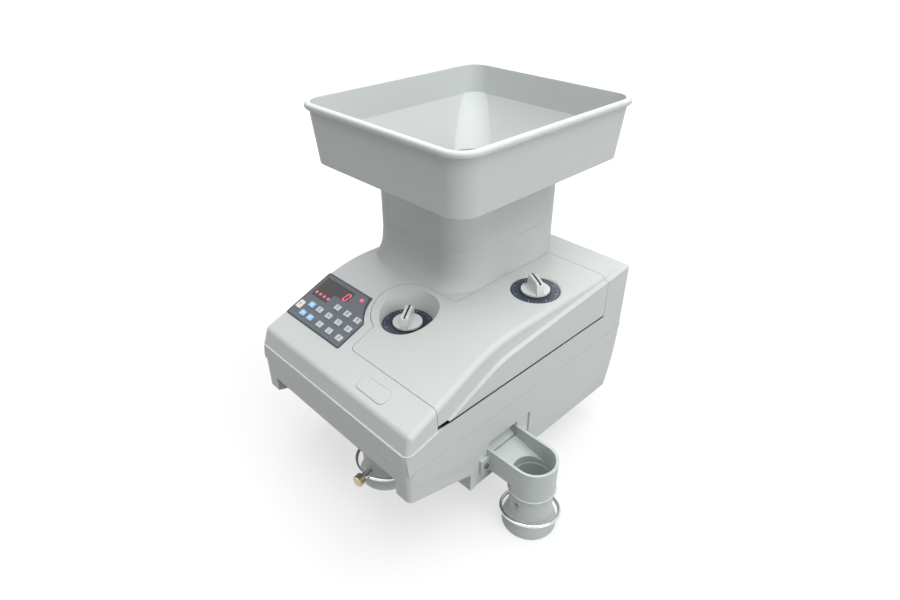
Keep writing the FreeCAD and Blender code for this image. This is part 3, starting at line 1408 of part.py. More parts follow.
front_hoop = wire_ring("front_hoop", front_tube_x, front_tube_y, front_ring_z, (0, 0, 1), 0)
boss = radial_rod("ring_boss", boss_radius, ring_radius - 4, ring_radius + 4)
boss_bore = radial_rod("ring_boss_bore", thumb_stem + fit_gap, ring_radius - 6, ring_radius + 6)
node("front_ring", cut("front_ring", fuse("front_hoop_boss", front_hoop, boss), boss_bore))
thumb_head = radial_rod("thumb_head", thumb_radius, ring_radius + 4.4, ring_radius + 4.4 + thumb_length)
thumb_shank = radial_rod("thumb_shank", thumb_stem, front_tube_radius + 0.2, ring_radius + 6)
node("front_thumb_screw", fuse("front_thumb_screw", thumb_head, thumb_shank))

# Electrics in the base
main_board = Piece("main_board")
board_x = (dim("main_board_left", 10), dim("main_board_right", 88))
board_y = (dim("main_board_near", 20), dim("main_board_far", 135))
main_board.pad("XY", [rectangle(board_x, board_y)], 11, 12.6)
main_board.pad("XY", [circle(x, y, 4) for x in (board_x[0] + 7, board_x[1] - 7) for y in (board_y[0] + 7,
                                                                                          board_y[1] - 7)],
               wall, 11.5)
main_board.pad("XY", [rectangle((board_x[0] + 16, board_x[1] - 16), (board_y[0] + 60, board_y[1] - 16))], 12,
               42)
main_board.pad("XY", [circle(board_x[0] + 22 + 16 * number, board_y[0] + 26, 6.5) for number in range(3)],
               12, 36)
node("main_board", main_board.body)

inlet = Piece("mains_inlet")
inlet.pad("XZ", [around(inlet_x, power_height, (inlet_half[0] - 0.2, inlet_half[1] - 0.2))],
          power_panel - 22, power_panel + 0.5)
inlet.pad("XZ", [around(inlet_x, power_height, (inlet_half[0] + 3, inlet_half[1] + 2.5))],
          power_panel + 0.05, power_panel + 2)
inlet.pocket("XZ", [around(inlet_x, power_height, (inlet_half[0] - 2.5, inlet_half[1] - 2.5))],
             power_panel - 14, power_panel + 3)
inlet.pad("XZ", [rectangle((inlet_x + 7 * step - 1, inlet_x + 7 * step + 1),
                           (power_height - 2 + 2 * (step == 0), power_height + 2 + 2 * (step == 0)))
                 for step in (-1, 0, 1)], power_panel - 14.5, power_panel - 1)
node("mains_inlet", inlet.body)

rocker = Piece("power_switch", switch_x, power_panel, power_height)
rocker.pad("YZ", [[
    (-9, -4),
    (3.4, 1.9 - switch_half[1]),
    (1.2, 0),
    (0.5, switch_half[1] - 1.9),
    (-9, 4),
]], 0.4 - switch_half[0], switch_half[0] - 0.4)
node("power_switch", rocker.body)

# Check every sub-part and write it out
doc.recompute()
for thing in doc.Objects:
    if "Invalid" in thing.State or "Error" in thing.State:
        raise RuntimeError(f"{thing.Name} did not build: {thing.State}")
os.makedirs("parts", exist_ok=True)
for name, thing in nodes.items():
    troubled = [state for state in thing.State if state in ("Invalid", "Error")]
    if troubled or thing.Shape.isNull() or not thing.Shape.isValid():
        raise RuntimeError(f"{name} did not build: {thing.State}")
    thing.Shape.exportStep(f"parts/{name}.step")
print(len(nodes), "sub-parts written")
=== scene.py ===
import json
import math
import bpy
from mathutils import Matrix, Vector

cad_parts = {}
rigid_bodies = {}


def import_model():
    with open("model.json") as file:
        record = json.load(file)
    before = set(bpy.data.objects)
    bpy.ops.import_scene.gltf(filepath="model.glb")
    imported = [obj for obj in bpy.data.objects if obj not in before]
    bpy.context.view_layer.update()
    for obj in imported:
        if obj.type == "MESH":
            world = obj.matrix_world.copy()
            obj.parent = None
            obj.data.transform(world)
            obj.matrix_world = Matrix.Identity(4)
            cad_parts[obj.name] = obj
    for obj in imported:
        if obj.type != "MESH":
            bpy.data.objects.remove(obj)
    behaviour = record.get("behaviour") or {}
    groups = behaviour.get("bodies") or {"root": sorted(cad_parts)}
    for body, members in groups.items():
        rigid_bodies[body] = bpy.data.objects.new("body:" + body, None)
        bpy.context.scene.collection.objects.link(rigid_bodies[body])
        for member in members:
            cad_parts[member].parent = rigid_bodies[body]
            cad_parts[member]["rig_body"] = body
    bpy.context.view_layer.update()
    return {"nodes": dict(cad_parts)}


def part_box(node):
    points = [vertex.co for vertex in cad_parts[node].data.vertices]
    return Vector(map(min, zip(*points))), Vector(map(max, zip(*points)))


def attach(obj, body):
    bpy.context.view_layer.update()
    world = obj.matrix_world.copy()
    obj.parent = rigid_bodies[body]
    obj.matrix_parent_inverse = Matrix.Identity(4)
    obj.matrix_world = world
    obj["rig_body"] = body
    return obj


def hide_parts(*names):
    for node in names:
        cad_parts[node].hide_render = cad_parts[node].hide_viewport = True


bl_info = {
    "name": "Coin sorting machine looks",
    "version": (1, 0, 0),
    "blender": (4, 5, 0),
    "location": "View3D > Sidebar > Coin Sorter",
    "description": "Finishes, small printed and lit details, and a studio stage for a coin sorting machine",
    "category": "Object",
}

import bmesh
import bpy
from mathutils import Matrix, Vector

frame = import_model()
NODES = frame["nodes"]

# Frame of the sloped control panel, in metres
PANEL_SLOPE = math.radians(21.5)
PANEL_ORIGIN = Vector((0.0, -0.146, 0.14344))
PANEL_ACROSS = Vector((1.0, 0.0, 0.0))
PANEL_UP = Vector((0.0, math.cos(PANEL_SLOPE), math.sin(PANEL_SLOPE)))
PANEL_OUT = Vector((0.0, -math.sin(PANEL_SLOPE), math.cos(PANEL_SLOPE)))
PANEL_MATRIX = Matrix.Translation(PANEL_ORIGIN) @ Matrix.Rotation(PANEL_SLOPE, 4, "X")

# Axis of the side outlet's tube, and the lip at the tube's lower end
SIDE_TUBE = Vector((0.173, -0.040, 0.0))
LIP_RADIUS = 0.0260
LIP_HEIGHT = 0.0046
LIP_THICKNESS = 0.0011

# Round notch in the keypad film, measured across and up the panel
NOTCH_ACROSS = 0.0072
NOTCH_UP = 0.0858
NOTCH_RADIUS = 0.052

# Height of the key tops over the panel, and of the prints over the keys
KEY_TOP = 0.0016
DIGIT_LIFT = 0.00002
BAR_LIFT = 0.00003

# Lit dots and figure of the display, across and up the panel
DOT_START = (-0.1123, 0.0413)
DOT_STEP = 0.00763
FIGURE_PLACE = (-0.0700, 0.0553)
FIGURE_SCALE = Matrix.Diagonal((1.3, 1.15, 1, 1))
LIT_LEVEL = 0.00012

# Radii of the dials' printed scales
TICK_OUTER = 0.0262
TICK_INNER = 0.0246
LONG_TICK_INNER = 0.0228
# Near-black middle of each scale, out just past the knob
DARK_MIDDLE_RADIUS = 0.0186

# Thumb screw of the front ring: its heading, its stem and its head as (distance from the ring's axis, radius)
SCREW_HEADING = math.radians(278)
STEM_START = 0.0252
STEM_END = 0.0378
STEM_RADIUS = 0.0022
HEAD_PROFILE = ((0.0375, 0.0050), (0.0381, 0.0062), (0.0455, 0.0062), (0.0463, 0.0052))
KNURL = 1.045

# Studio lamps: name, place, width and power, all aimed at the same point
LAMP_AIM = (0.0, 0.0, 0.15)
LAMPS = (("Overhead", (0.30, 0.1, 2.2), 2.6, 62.0), ("Right", (2.0, 0.1, 0.9), 1.2, 16.0),
         ("Front", (-0.6, -2.2, 0.9), 1.4, 5.0), ("Back", (-1.7, 1.7, 1.1), 1.4, 20.0))
WORLD_LIGHT = (0.20, 0.20, 0.205, 1.0)
WHITE = (1.0, 1.0, 1.0, 1.0)

HOUSING_NODES = ("base_pan", "upper_cover", "lid", "hopper", "release_button")
OUTLET_NODES = ("side_chute", "side_sleeve", "front_outlet")
KNOB_NODES = ("dial_knob_front", "dial_knob_rear")
GREY_KEYS = tuple(f"key_grey_{number}" for number in range(10))
BLUE_KEYS = tuple(f"key_blue_{number}" for number in (1, 2, 3))


def colour(name, description, default):
    """A colour setting."""
    return bpy.props.FloatVectorProperty(name=name, description=description, subtype="COLOR", size=3,
                                         min=0, max=1, default=default)


def length(name, description, default):
    """A length setting in metres."""
    return bpy.props.FloatProperty(name=name, description=description, unit="LENGTH", subtype="DISTANCE",
                                   precision=5, default=default)


def share(name, description, default):
    """A setting from nothing to all."""
    return bpy.props.FloatProperty(name=name, description=description, subtype="FACTOR", min=0, max=1,
                                   default=default)


class HousingSettings(bpy.types.PropertyGroup):
    shell: colour("Shell", "Pale moulded plastic of the housing and hopper", (0.60, 0.628, 0.612))
    outlet: colour("Outlets", "Plastic of the coin outlets", (0.53, 0.575, 0.56))
    knob: colour("Knobs", "Plastic of the dial knobs", (0.70, 0.72, 0.71))
    gloss: share("Roughness", "Roughness of the moulded plastic", 0.52)
    grain: length("Grain", "Width of one grain of the moulded surface", 0.0011)
    edge: length("Edge", "Width of the softened edges", 0.0007)


class PanelSettings(bpy.types.PropertyGroup):
    film: colour("Film", "Printed field of the keypad film", (0.125, 0.138, 0.160))
    border: colour("Border", "Darker border of the keypad film", (0.042, 0.047, 0.060))
    border_width: length("Border width", "Width of the film's border", 0.0022)
    window: colour("Window", "Smoked display window", (0.022, 0.017, 0.015))
    light: colour("Light", "Lit segments, dots and lamp", (1.0, 0.05, 0.16))
    grey_key: colour("Grey keys", "Number keys", (0.56, 0.61, 0.60))
    blue_key: colour("Blue keys", "Function keys", (0.33, 0.58, 0.90))
    pink_key: colour("Pink key", "Stop key", (0.86, 0.76, 0.76))
    mark: colour("Marks", "Printed marks on the keys", (0.05, 0.06, 0.07))


class DialSettings(bpy.types.PropertyGroup):
    print_field: colour("Field", "Printed field of the scales", (0.022, 0.032, 0.058))
    print_line: colour("Lines", "Printed lines of the scales", (0.50, 0.54, 0.58))
    ticks: bpy.props.IntProperty(name="Ticks", description="Lines round one scale", default=40)


class MetalSettings(bpy.types.PropertyGroup):
    ring: colour("Rings", "Bright plated bag rings", (0.72, 0.72, 0.74))
    steel: colour("Steel", "Plates, screws and pins", (0.42, 0.43, 0.45))
    brass: colour("Thumb screw", "Turned thumb screw", (0.52, 0.43, 0.31))


class StageSettings(bpy.types.PropertyGroup):
    floor: colour("Floor", "Pale floor", (0.36, 0.36, 0.36))
    floor_level: length("Floor level", "Height of the floor", -0.0505)
    camera_place: bpy.props.FloatVectorProperty(name="Camera", description="Where the camera stands",
                                                subtype="TRANSLATION", unit="LENGTH",
                                                default=(0.44183, -0.43096, 0.54246))
    camera_down: bpy.props.FloatProperty(name="Camera pitch", description="How far the camera looks down",
                                         subtype="ANGLE", default=math.radians(32.444))
    camera_turn: bpy.props.FloatProperty(name="Camera heading", description="How far the camera turns left",
                                         subtype="ANGLE", default=math.radians(45.507))
    camera_lens: bpy.props.FloatProperty(name="Lens", description="Focal length", unit="CAMERA",
                                         default=24.66)


class Net:
    """A node tree with short calls for adding and joining nodes."""

    def __init__(self, tree):
        self.tree = tree

    def add(self, kind, **settings):
        made = self.tree.nodes.new(kind)
        for name, value in settings.items():
            setattr(made, name, value)
        return made

    def join(self, source, target):
        self.tree.links.new(source, target)

    def feed(self, socket, value):
        """Link a socket to another, or set it to a plain value."""
        if isinstance(value, bpy.types.NodeSocket):
            self.join(value, socket)
        else:
            socket.default_value = value

    def math(self, operation, first, second=0.0, clamp=False):
        made = self.add("ShaderNodeMath", operation=operation, use_clamp=clamp)
        self.feed(made.inputs[0], first)
        self.feed(made.inputs[1], second)
        return made.outputs[0]

    def reach(self, first, second):
        """The length of a step with two square parts."""
        squares = self.math("ADD", self.math("POWER", first, 2.0), self.math("POWER", second, 2.0))
        return self.math("SQRT", squares)

    def between(self, value, low, high):
        """1 where value lies between two limits."""
        above = self.math("GREATER_THAN", value, low)
        return self.math("MULTIPLY", above, self.math("LESS_THAN", value, high))

    def mix(self, factor, first, second):
        made = self.add("ShaderNodeMix", data_type="RGBA")
        self.feed(made.inputs["Factor"], factor)
        self.feed(made.inputs["A"], first)
        self.feed(made.inputs["B"], second)
        return made.outputs["Result"]

    def noise(self, vector, scale, detail=2.0, roughness=0.5):
        made = self.add("ShaderNodeTexNoise")
        self.feed(made.inputs["Vector"], vector)
        self.feed(made.inputs["Scale"], scale)
        made.inputs["Detail"].default_value = detail
        made.inputs["Roughness"].default_value = roughness
        return made.outputs["Fac"]

    def spread(self, value, low, high, to_low, to_high):
        made = self.add("ShaderNodeMapRange")
        for name, part in (("Value", value), ("From Min", low), ("From Max", high), ("To Min", to_low),
                           ("To Max", to_high)):
            self.feed(made.inputs[name], part)
        return made.outputs["Result"]


def rgba(value):
    """A colour with full alpha."""
    return (*value[:3], 1.0)


def shader_group(name, inputs, outputs):
    """An empty shader node group with named sockets; gives its net, inputs and outputs."""
    tree = bpy.data.node_groups.new(name, "ShaderNodeTree")
    for label, kind, default in inputs:
        socket = tree.interface.new_socket(label, in_out="INPUT", socket_type=kind)
        if default is not None:
            socket.default_value = default
    for label, kind in outputs:
        tree.interface.new_socket(label, in_out="OUTPUT", socket_type=kind)
    net = Net(tree)
    return net, net.add("NodeGroupInput").outputs, net.add("NodeGroupOutput").inputs


def make_moulded_group():
    """Moulded plastic: a spark-etched grain, slow tone drift and faint handling marks."""
    net, given, put = shader_group(
        "Moulded surface",
        [("Vector", "NodeSocketVector", None), ("Colour", "NodeSocketColor", (0.6, 0.6, 0.6, 1)),
         ("Roughness", "NodeSocketFloat", 0.4), ("Grain Scale", "NodeSocketFloat", 900.0),
         ("Drift", "NodeSocketFloat", 0.05), ("Marks", "NodeSocketFloat", 0.08)],
        [("Colour", "NodeSocketColor"), ("Roughness", "NodeSocketFloat"), ("Height", "NodeSocketFloat")])
    fine = net.noise(given["Vector"], given["Grain Scale"], 3.0, 0.6)
    drift = net.noise(given["Vector"], 7.0, 3.0, 0.55)
    smear = net.noise(given["Vector"], 38.0, 5.0, 0.62)
    lift = net.math("MULTIPLY", net.math("SUBTRACT", drift, 0.5), given["Drift"])
    speck = net.math("MULTIPLY", net.math("SUBTRACT", fine, 0.5), 0.03)
    tone = net.math("ADD", 1.0, net.math("ADD", lift, speck))
    scaled = net.add("ShaderNodeVectorMath", operation="SCALE")
    net.join(given["Colour"], scaled.inputs[0])
    net.join(tone, scaled.inputs["Scale"])
    net.join(scaled.outputs[0], put["Colour"])
    rub = net.math("MULTIPLY", net.spread(smear, 0.52, 0.75, 0.0, 1.0), given["Marks"])
    net.join(net.math("ADD", given["Roughness"], rub, clamp=True), put["Roughness"])
    net.join(fine, put["Height"])
    return net.tree


def make_brushed_group():
    """Rolled or drawn metal: long fine scratches along one axis."""
    net, given, put = shader_group(
        "Drawn metal",
        [("Vector", "NodeSocketVector", None), ("Stretch", "NodeSocketVector", (40.0, 900.0, 900.0)),
         ("Colour", "NodeSocketColor", (0.5, 0.5, 0.5, 1)), ("Roughness", "NodeSocketFloat", 0.3)],
        [("Colour", "NodeSocketColor"), ("Roughness", "NodeSocketFloat"), ("Height", "NodeSocketFloat")])
    stretched = net.add("ShaderNodeVectorMath", operation="MULTIPLY")
    net.join(given["Vector"], stretched.inputs[0])
    net.join(given["Stretch"], stretched.inputs[1])
    lines = net.noise(stretched.outputs[0], 1.0, 4.0, 0.65)
    stain = net.noise(given["Vector"], 26.0, 3.0, 0.5)
    tone = net.math("ADD", net.spread(lines, 0.2, 0.8, 0.86, 1.06), net.math("MULTIPLY", stain, 0.08))
    scaled = net.add("ShaderNodeVectorMath", operation="SCALE")
    net.join(given["Colour"], scaled.inputs[0])
    net.join(tone, scaled.inputs["Scale"])
    net.join(scaled.outputs[0], put["Colour"])
    net.join(net.math("ADD", given["Roughness"], net.spread(lines, 0.3, 0.7, -0.06, 0.1), clamp=True),
             put["Roughness"])
    net.join(lines, put["Height"])
    return net.tree


def blank_material(name):
    """A material holding only its output and one Principled shader."""
    made = bpy.data.materials.new(name)
    made.use_nodes = True
    made.node_tree.nodes.clear()
    net = Net(made.node_tree)
    shader = net.add("ShaderNodeBsdfPrincipled")
    net.join(shader.outputs["BSDF"], net.add("ShaderNodeOutputMaterial").inputs["Surface"])
    return made, net, shader


def object_place(net):
    """The Object coordinates of a surface point."""
    return net.add("ShaderNodeTexCoord").outputs["Object"]


def bump(net, shader, height, depth, strength):
    """Raise the shader's surface by a height of the given depth."""
    made = net.add("ShaderNodeBump")
    made.inputs["Distance"].default_value = depth
    made.inputs["Strength"].default_value = strength
    net.join(height, made.inputs["Height"])
    net.join(made.outputs["Normal"], shader.inputs["Normal"])


def moulded_material(name, base, roughness, grain=0.0011, drift=0.05, marks=0.10, depth=0.00012):
    """Moulded plastic; gives the material, its net, its shader and its group node."""
    made, net, shader = blank_material(name)
    skin = net.add("ShaderNodeGroup", node_tree=bpy.data.node_groups["Moulded surface"])
    net.join(object_place(net), skin.inputs["Vector"])
    net.feed(skin.inputs["Colour"], base if isinstance(base, bpy.types.NodeSocket) else rgba(base))
    skin.inputs["Roughness"].default_value = roughness
    skin.inputs["Grain Scale"].default_value = 1.0 / grain
    skin.inputs["Drift"].default_value = drift
    skin.inputs["Marks"].default_value = marks
    net.join(skin.outputs["Colour"], shader.inputs["Base Color"])
    net.join(skin.outputs["Roughness"], shader.inputs["Roughness"])
    bump(net, shader, skin.outputs["Height"], depth, 0.35)
    return made, net, shader, skin


def moulding(*settings, **others):
    """Moulded plastic, as the material alone."""
    return moulded_material(*settings, **others)[0]


def metal_material(name, base, roughness, stretch, depth=0.00003):
    """Drawn or plated metal."""
    made, net, shader = blank_material(name)
    skin = net.add("ShaderNodeGroup", node_tree=bpy.data.node_groups["Drawn metal"])
    net.join(object_place(net), skin.inputs["Vector"])
    skin.inputs["Stretch"].default_value = stretch
    skin.inputs["Colour"].default_value = rgba(base)
    skin.inputs["Roughness"].default_value = roughness
    net.join(skin.outputs["Colour"], shader.inputs["Base Color"])
    net.join(skin.outputs["Roughness"], shader.inputs["Roughness"])
    shader.inputs["Metallic"].default_value = 1.0
    bump(net, shader, skin.outputs["Height"], depth, 0.3)
    return made


def panel_place(net):
    """Distances across and up the sloped panel, from its near left datum."""
    shift = net.add("ShaderNodeVectorMath", operation="SUBTRACT")
    net.join(object_place(net), shift.inputs[0])
    shift.inputs[1].default_value = PANEL_ORIGIN
    places = []
    for direction in (PANEL_ACROSS, PANEL_UP):
        dot = net.add("ShaderNodeVectorMath", operation="DOT_PRODUCT")
        net.join(shift.outputs[0], dot.inputs[0])
        dot.inputs[1].default_value = direction
        places.append(dot.outputs["Value"])
    return places


def dress(node_names, made):
    """Give CAD nodes one material."""
    for name in node_names:
        materials = NODES[name].data.materials
        materials.clear()
        materials.append(made)


def finish_piece(name, mesh, body, made):
    """Make a mesh an object that rides on a body with a material."""
    piece = bpy.data.objects.new(name, mesh)
    bpy.context.scene.collection.objects.link(piece)
    mesh.materials.clear()
    mesh.materials.append(made)
    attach(piece, body)
    return piece


def settle(bm, name, smooth_angle=35):
    """Turn a bmesh into a mesh with outward faces and smooth shading below an angle."""
    bmesh.ops.recalc_face_normals(bm, faces=bm.faces)
    mesh = bpy.data.meshes.new(name)
    bm.to_mesh(mesh)
    bm.free()
    mesh.shade_smooth()
    mesh.set_sharp_from_angle(angle=math.radians(smooth_angle))
    return mesh


def body_of_node(name):
    """The body that a CAD node belongs to."""
    return NODES[name]["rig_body"]


def softened(name, made, edge, smooth_angle=32):
    """A copy of a CAD node with merged faces, smooth curves and softened edges, in place of the node."""
    bm = bmesh.new()
    bm.from_mesh(NODES[name].data)
    bmesh.ops.remove_doubles(bm, verts=bm.verts, dist=0.000004)
    bmesh.ops.dissolve_limit(bm, angle_limit=math.radians(0.4), verts=bm.verts, edges=bm.edges)
    mesh = bpy.data.meshes.new(name + "_skin")
    bm.to_mesh(mesh)
    bm.free()
    mesh.shade_smooth()
    mesh.set_sharp_from_angle(angle=math.radians(smooth_angle))
    piece = finish_piece(name + "_skin", mesh, body_of_node(name), made)
    if edge:
        soft = piece.modifiers.new("Softened edges", "BEVEL")
        soft.width = edge
        soft.segments = 2
        soft.limit_method = "ANGLE"
        soft.angle_limit = math.radians(40)
    even = piece.modifiers.new("Even shading", "WEIGHTED_NORMAL")
    even.keep_sharp = True
    even.weight = 80
    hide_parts(name)
    return piece


def key_place(name):
    """How far a key's middle lies across and up the panel."""
    low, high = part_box(name)
    middle = (low + high) / 2
    return middle.x, (middle - PANEL_ORIGIN).dot(PANEL_UP)


def bar(bm, centre, half, matrix=Matrix.Identity(4), edge=0.0):
    """Add a block with rounded edges to a bmesh."""
    place = matrix @ Matrix.Translation(centre) @ Matrix.Diagonal((*[2 * part for part in half], 1.0))
    made = bmesh.ops.create_cube(bm, size=1.0, matrix=place)
    if edge:
        edges = list({line for corner in made["verts"] for line in corner.link_edges})
        bmesh.ops.bevel(bm, geom=edges, offset=edge, offset_type="OFFSET", segments=2, profile=0.5,
                        affect="EDGES", material=-1)


class COINSORTER_OT_surfaces(bpy.types.Operator):
    """Build the shared surface effects"""

    bl_idname = "coinsorter.surfaces"
    bl_label = "Surface effects"

    def execute(self, context):
        make_moulded_group()
        make_brushed_group()
        return {"FINISHED"}


class COINSORTER_OT_housing(bpy.types.Operator):
    """Finish the moulded housing, the hopper and the coin outlets"""

    bl_idname = "coinsorter.housing"
    bl_label = "Housing"

    def tube_lip(self, made):
        """A rounded lip round the lower end of the side tube, over the sleeve."""
        bm = bmesh.new()
        edge = SIDE_TUBE + Vector((LIP_RADIUS, 0.0, LIP_HEIGHT))
        start = Matrix.Translation(edge) @ Matrix.Rotation(math.pi / 2, 4, "X")
        loop = bmesh.ops.create_circle(bm, cap_ends=False, segments=12, radius=LIP_THICKNESS, matrix=start)
        edges = list({line for corner in loop["verts"] for line in corner.link_edges})
        bmesh.ops.spin(bm, geom=loop["verts"] + edges, cent=SIDE_TUBE, axis=(0, 0, 1), angle=2 * math.pi,
                       steps=96, use_merge=True)
        bmesh.ops.remove_doubles(bm, verts=bm.verts, dist=0.00001)
        finish_piece("side_tube_lip", settle(bm, "side_tube_lip", 60), "housing", made)

    def execute(self, context):
        look = context.scene.coinsorter_housing
        shell, _, shader, _ = moulded_material("Pale satin moulding", look.shell, look.gloss, look.grain)
        shader.inputs["Specular IOR Level"].default_value = 0.22
        outlet = moulding("Outlet moulding", look.outlet, look.gloss, look.grain, drift=0.07)
        for name in HOUSING_NODES:
            softened(name, shell, look.edge)
        for name in OUTLET_NODES:
            softened(name, outlet, look.edge)
        self.tube_lip(outlet)
        dress(("reject_slide",), outlet)
        rubber = moulding("Foot rubber", (0.018, 0.018, 0.018), 0.75, 0.0016, marks=0.15)
        dress(("rubber_feet", "coin_belt"), rubber)
        return {"FINISHED"}


class COINSORTER_OT_keypad(bpy.types.Operator):
    """Finish the keypad film, its keys, the display and the lamp"""

    bl_idname = "coinsorter.keypad"
    bl_label = "Keypad"

    def film(self, look):
        """The printed film: a slate field inside a darker border that follows its outline."""
        made, net, _, skin = moulded_material("Keypad film", look.film, 0.42, 0.0007, drift=0.08,
                                              depth=0.00004)
        across, up = panel_place(net)
        low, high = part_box("control_overlay")
        width = look.border_width
        far = (high.y - PANEL_ORIGIN.y) / math.cos(PANEL_SLOPE)
        inside = net.math("MULTIPLY", net.between(across, low.x + width, high.x - width),
                          net.between(up, width, far - width))
        distance = net.reach(net.math("SUBTRACT", across, NOTCH_ACROSS), net.math("SUBTRACT", up, NOTCH_UP))
        inside = net.math("MULTIPLY", inside, net.math("GREATER_THAN", distance, NOTCH_RADIUS + width))
        net.join(net.mix(inside, rgba(look.border), rgba(look.film)), skin.inputs["Colour"])
        return made

    def lit(self, look):
        """Lit red plastic."""
        made, net, shader = blank_material("Lit red")
        glow = net.noise(object_place(net), 900.0, 2.0, 0.5)
        net.join(net.mix(glow, rgba(look.light), (1.0, 0.20, 0.32, 1.0)), shader.inputs["Emission Color"])
        net.join(net.mix(glow, (0.35, 0.01, 0.02, 1.0), (0.5, 0.03, 0.05, 1.0)), shader.inputs["Base Color"])
        shader.inputs["Emission Strength"].default_value = 1.1
        shader.inputs["Roughness"].default_value = 0.3
        return made

    def digits(self, marks):
        """A printed number on each grey key."""
        for name in GREY_KEYS:
            across, up = key_place(name)
            text = bpy.data.curves.new(name + "_print", "FONT")
            text.body = name[-1]
            text.size = 0.0056
            text.align_x = "CENTER"
            text.align_y = "CENTER"
            text.extrude = DIGIT_LIFT
            shown = bpy.data.objects.new(name + "_text", text)
            mesh = bpy.data.meshes.new_from_object(shown)
            bpy.data.objects.remove(shown)
            mesh.transform(PANEL_MATRIX @ Matrix.Translation((across, up, KEY_TOP + DIGIT_LIFT)))
            finish_piece(name + "_mark", mesh, body_of_node(name), marks)

    def bars(self, pale, rose):
        """Short printed bars on the blue and pink keys."""
        top = KEY_TOP + BAR_LIFT
        marked = [(key, pale, "key_blue") for key in BLUE_KEYS] + [("key_red", rose, "key_pink")]
        for name, made, slot in marked:
            across, up = key_place(name)
            bm = bmesh.new()
            bar(bm, (across, up + 0.0008, top), (0.0022, 0.0006, BAR_LIFT), PANEL_MATRIX, 0.00001)
            bar(bm, (across, up - 0.0009, top), (0.0014, 0.0005, BAR_LIFT), PANEL_MATRIX, 0.00001)
            finish_piece(name + "_mark", settle(bm, name + "_mark"), body_of_node(name), made)

    def display(self, lit):
        """Four lit dots and one lit figure behind the smoked window."""
        bm = bmesh.new()
        for number in range(4):
            spot = (DOT_START[0] + DOT_STEP * number, DOT_START[1], LIT_LEVEL)
            place = PANEL_MATRIX @ Matrix.Translation(spot)
            bmesh.ops.create_uvsphere(bm, u_segments=16, v_segments=8, radius=1.0,
                                      matrix=place @ Matrix.Diagonal((0.0019, 0.0019, 0.0002, 1.0)))
        finish_piece("display_dots", settle(bm, "display_dots", 80), "housing", lit)
        bm = bmesh.new()
        middle = PANEL_MATRIX @ Matrix.Translation((*FIGURE_PLACE, LIT_LEVEL)) @ FIGURE_SCALE
        for side_step in (-1, 1):
            for half_step in (-1, 1):
                spot = (side_step * 0.0021 + half_step * 0.0003, half_step * 0.0021, 0.0)
                bar(bm, spot, (0.0005, 0.0018, 0.00008), middle, 0.0001)
        for half_step in (-1, 1):
            bar(bm, (half_step * 0.0006, half_step * 0.0043, 0.0), (0.0018, 0.0005, 0.00008), middle, 0.0001)
        finish_piece("display_figure", settle(bm, "display_figure"), "housing", lit)

    def execute(self, context):
        look = context.scene.coinsorter_panel
        dress(("control_overlay",), self.film(look))
        window, _, shader, _ = moulded_material("Smoked window", look.window, 0.12, 0.004, marks=0.05,
                                                depth=0.00001)
        shader.inputs["Coat Weight"].default_value = 0.6
        shader.inputs["Coat Roughness"].default_value = 0.05
        dress(("display_window",), window)
        lit = self.lit(look)
        softened("power_lamp", lit, 0.0004)
        for names, base, label, slot in ((GREY_KEYS, look.grey_key, "Grey key", "key_grey"),
                                         (BLUE_KEYS, look.blue_key, "Blue key", "key_blue"),
                                         (("key_red",), look.pink_key, "Pink key", "key_pink")):
            made = moulding(label, base, 0.4, 0.0008)
            for name in names:
                softened(name, made, 0.0005)
        marks = moulding("Key print", look.mark, 0.5, 0.0006)
        pale = moulding("Pale print", (0.80, 0.84, 0.90), 0.5, 0.0006)
        rose = moulding("Rose print", (0.62, 0.30, 0.32), 0.5, 0.0006)
        self.digits(marks)
        self.bars(pale, rose)
        self.display(lit)
        return {"FINISHED"}


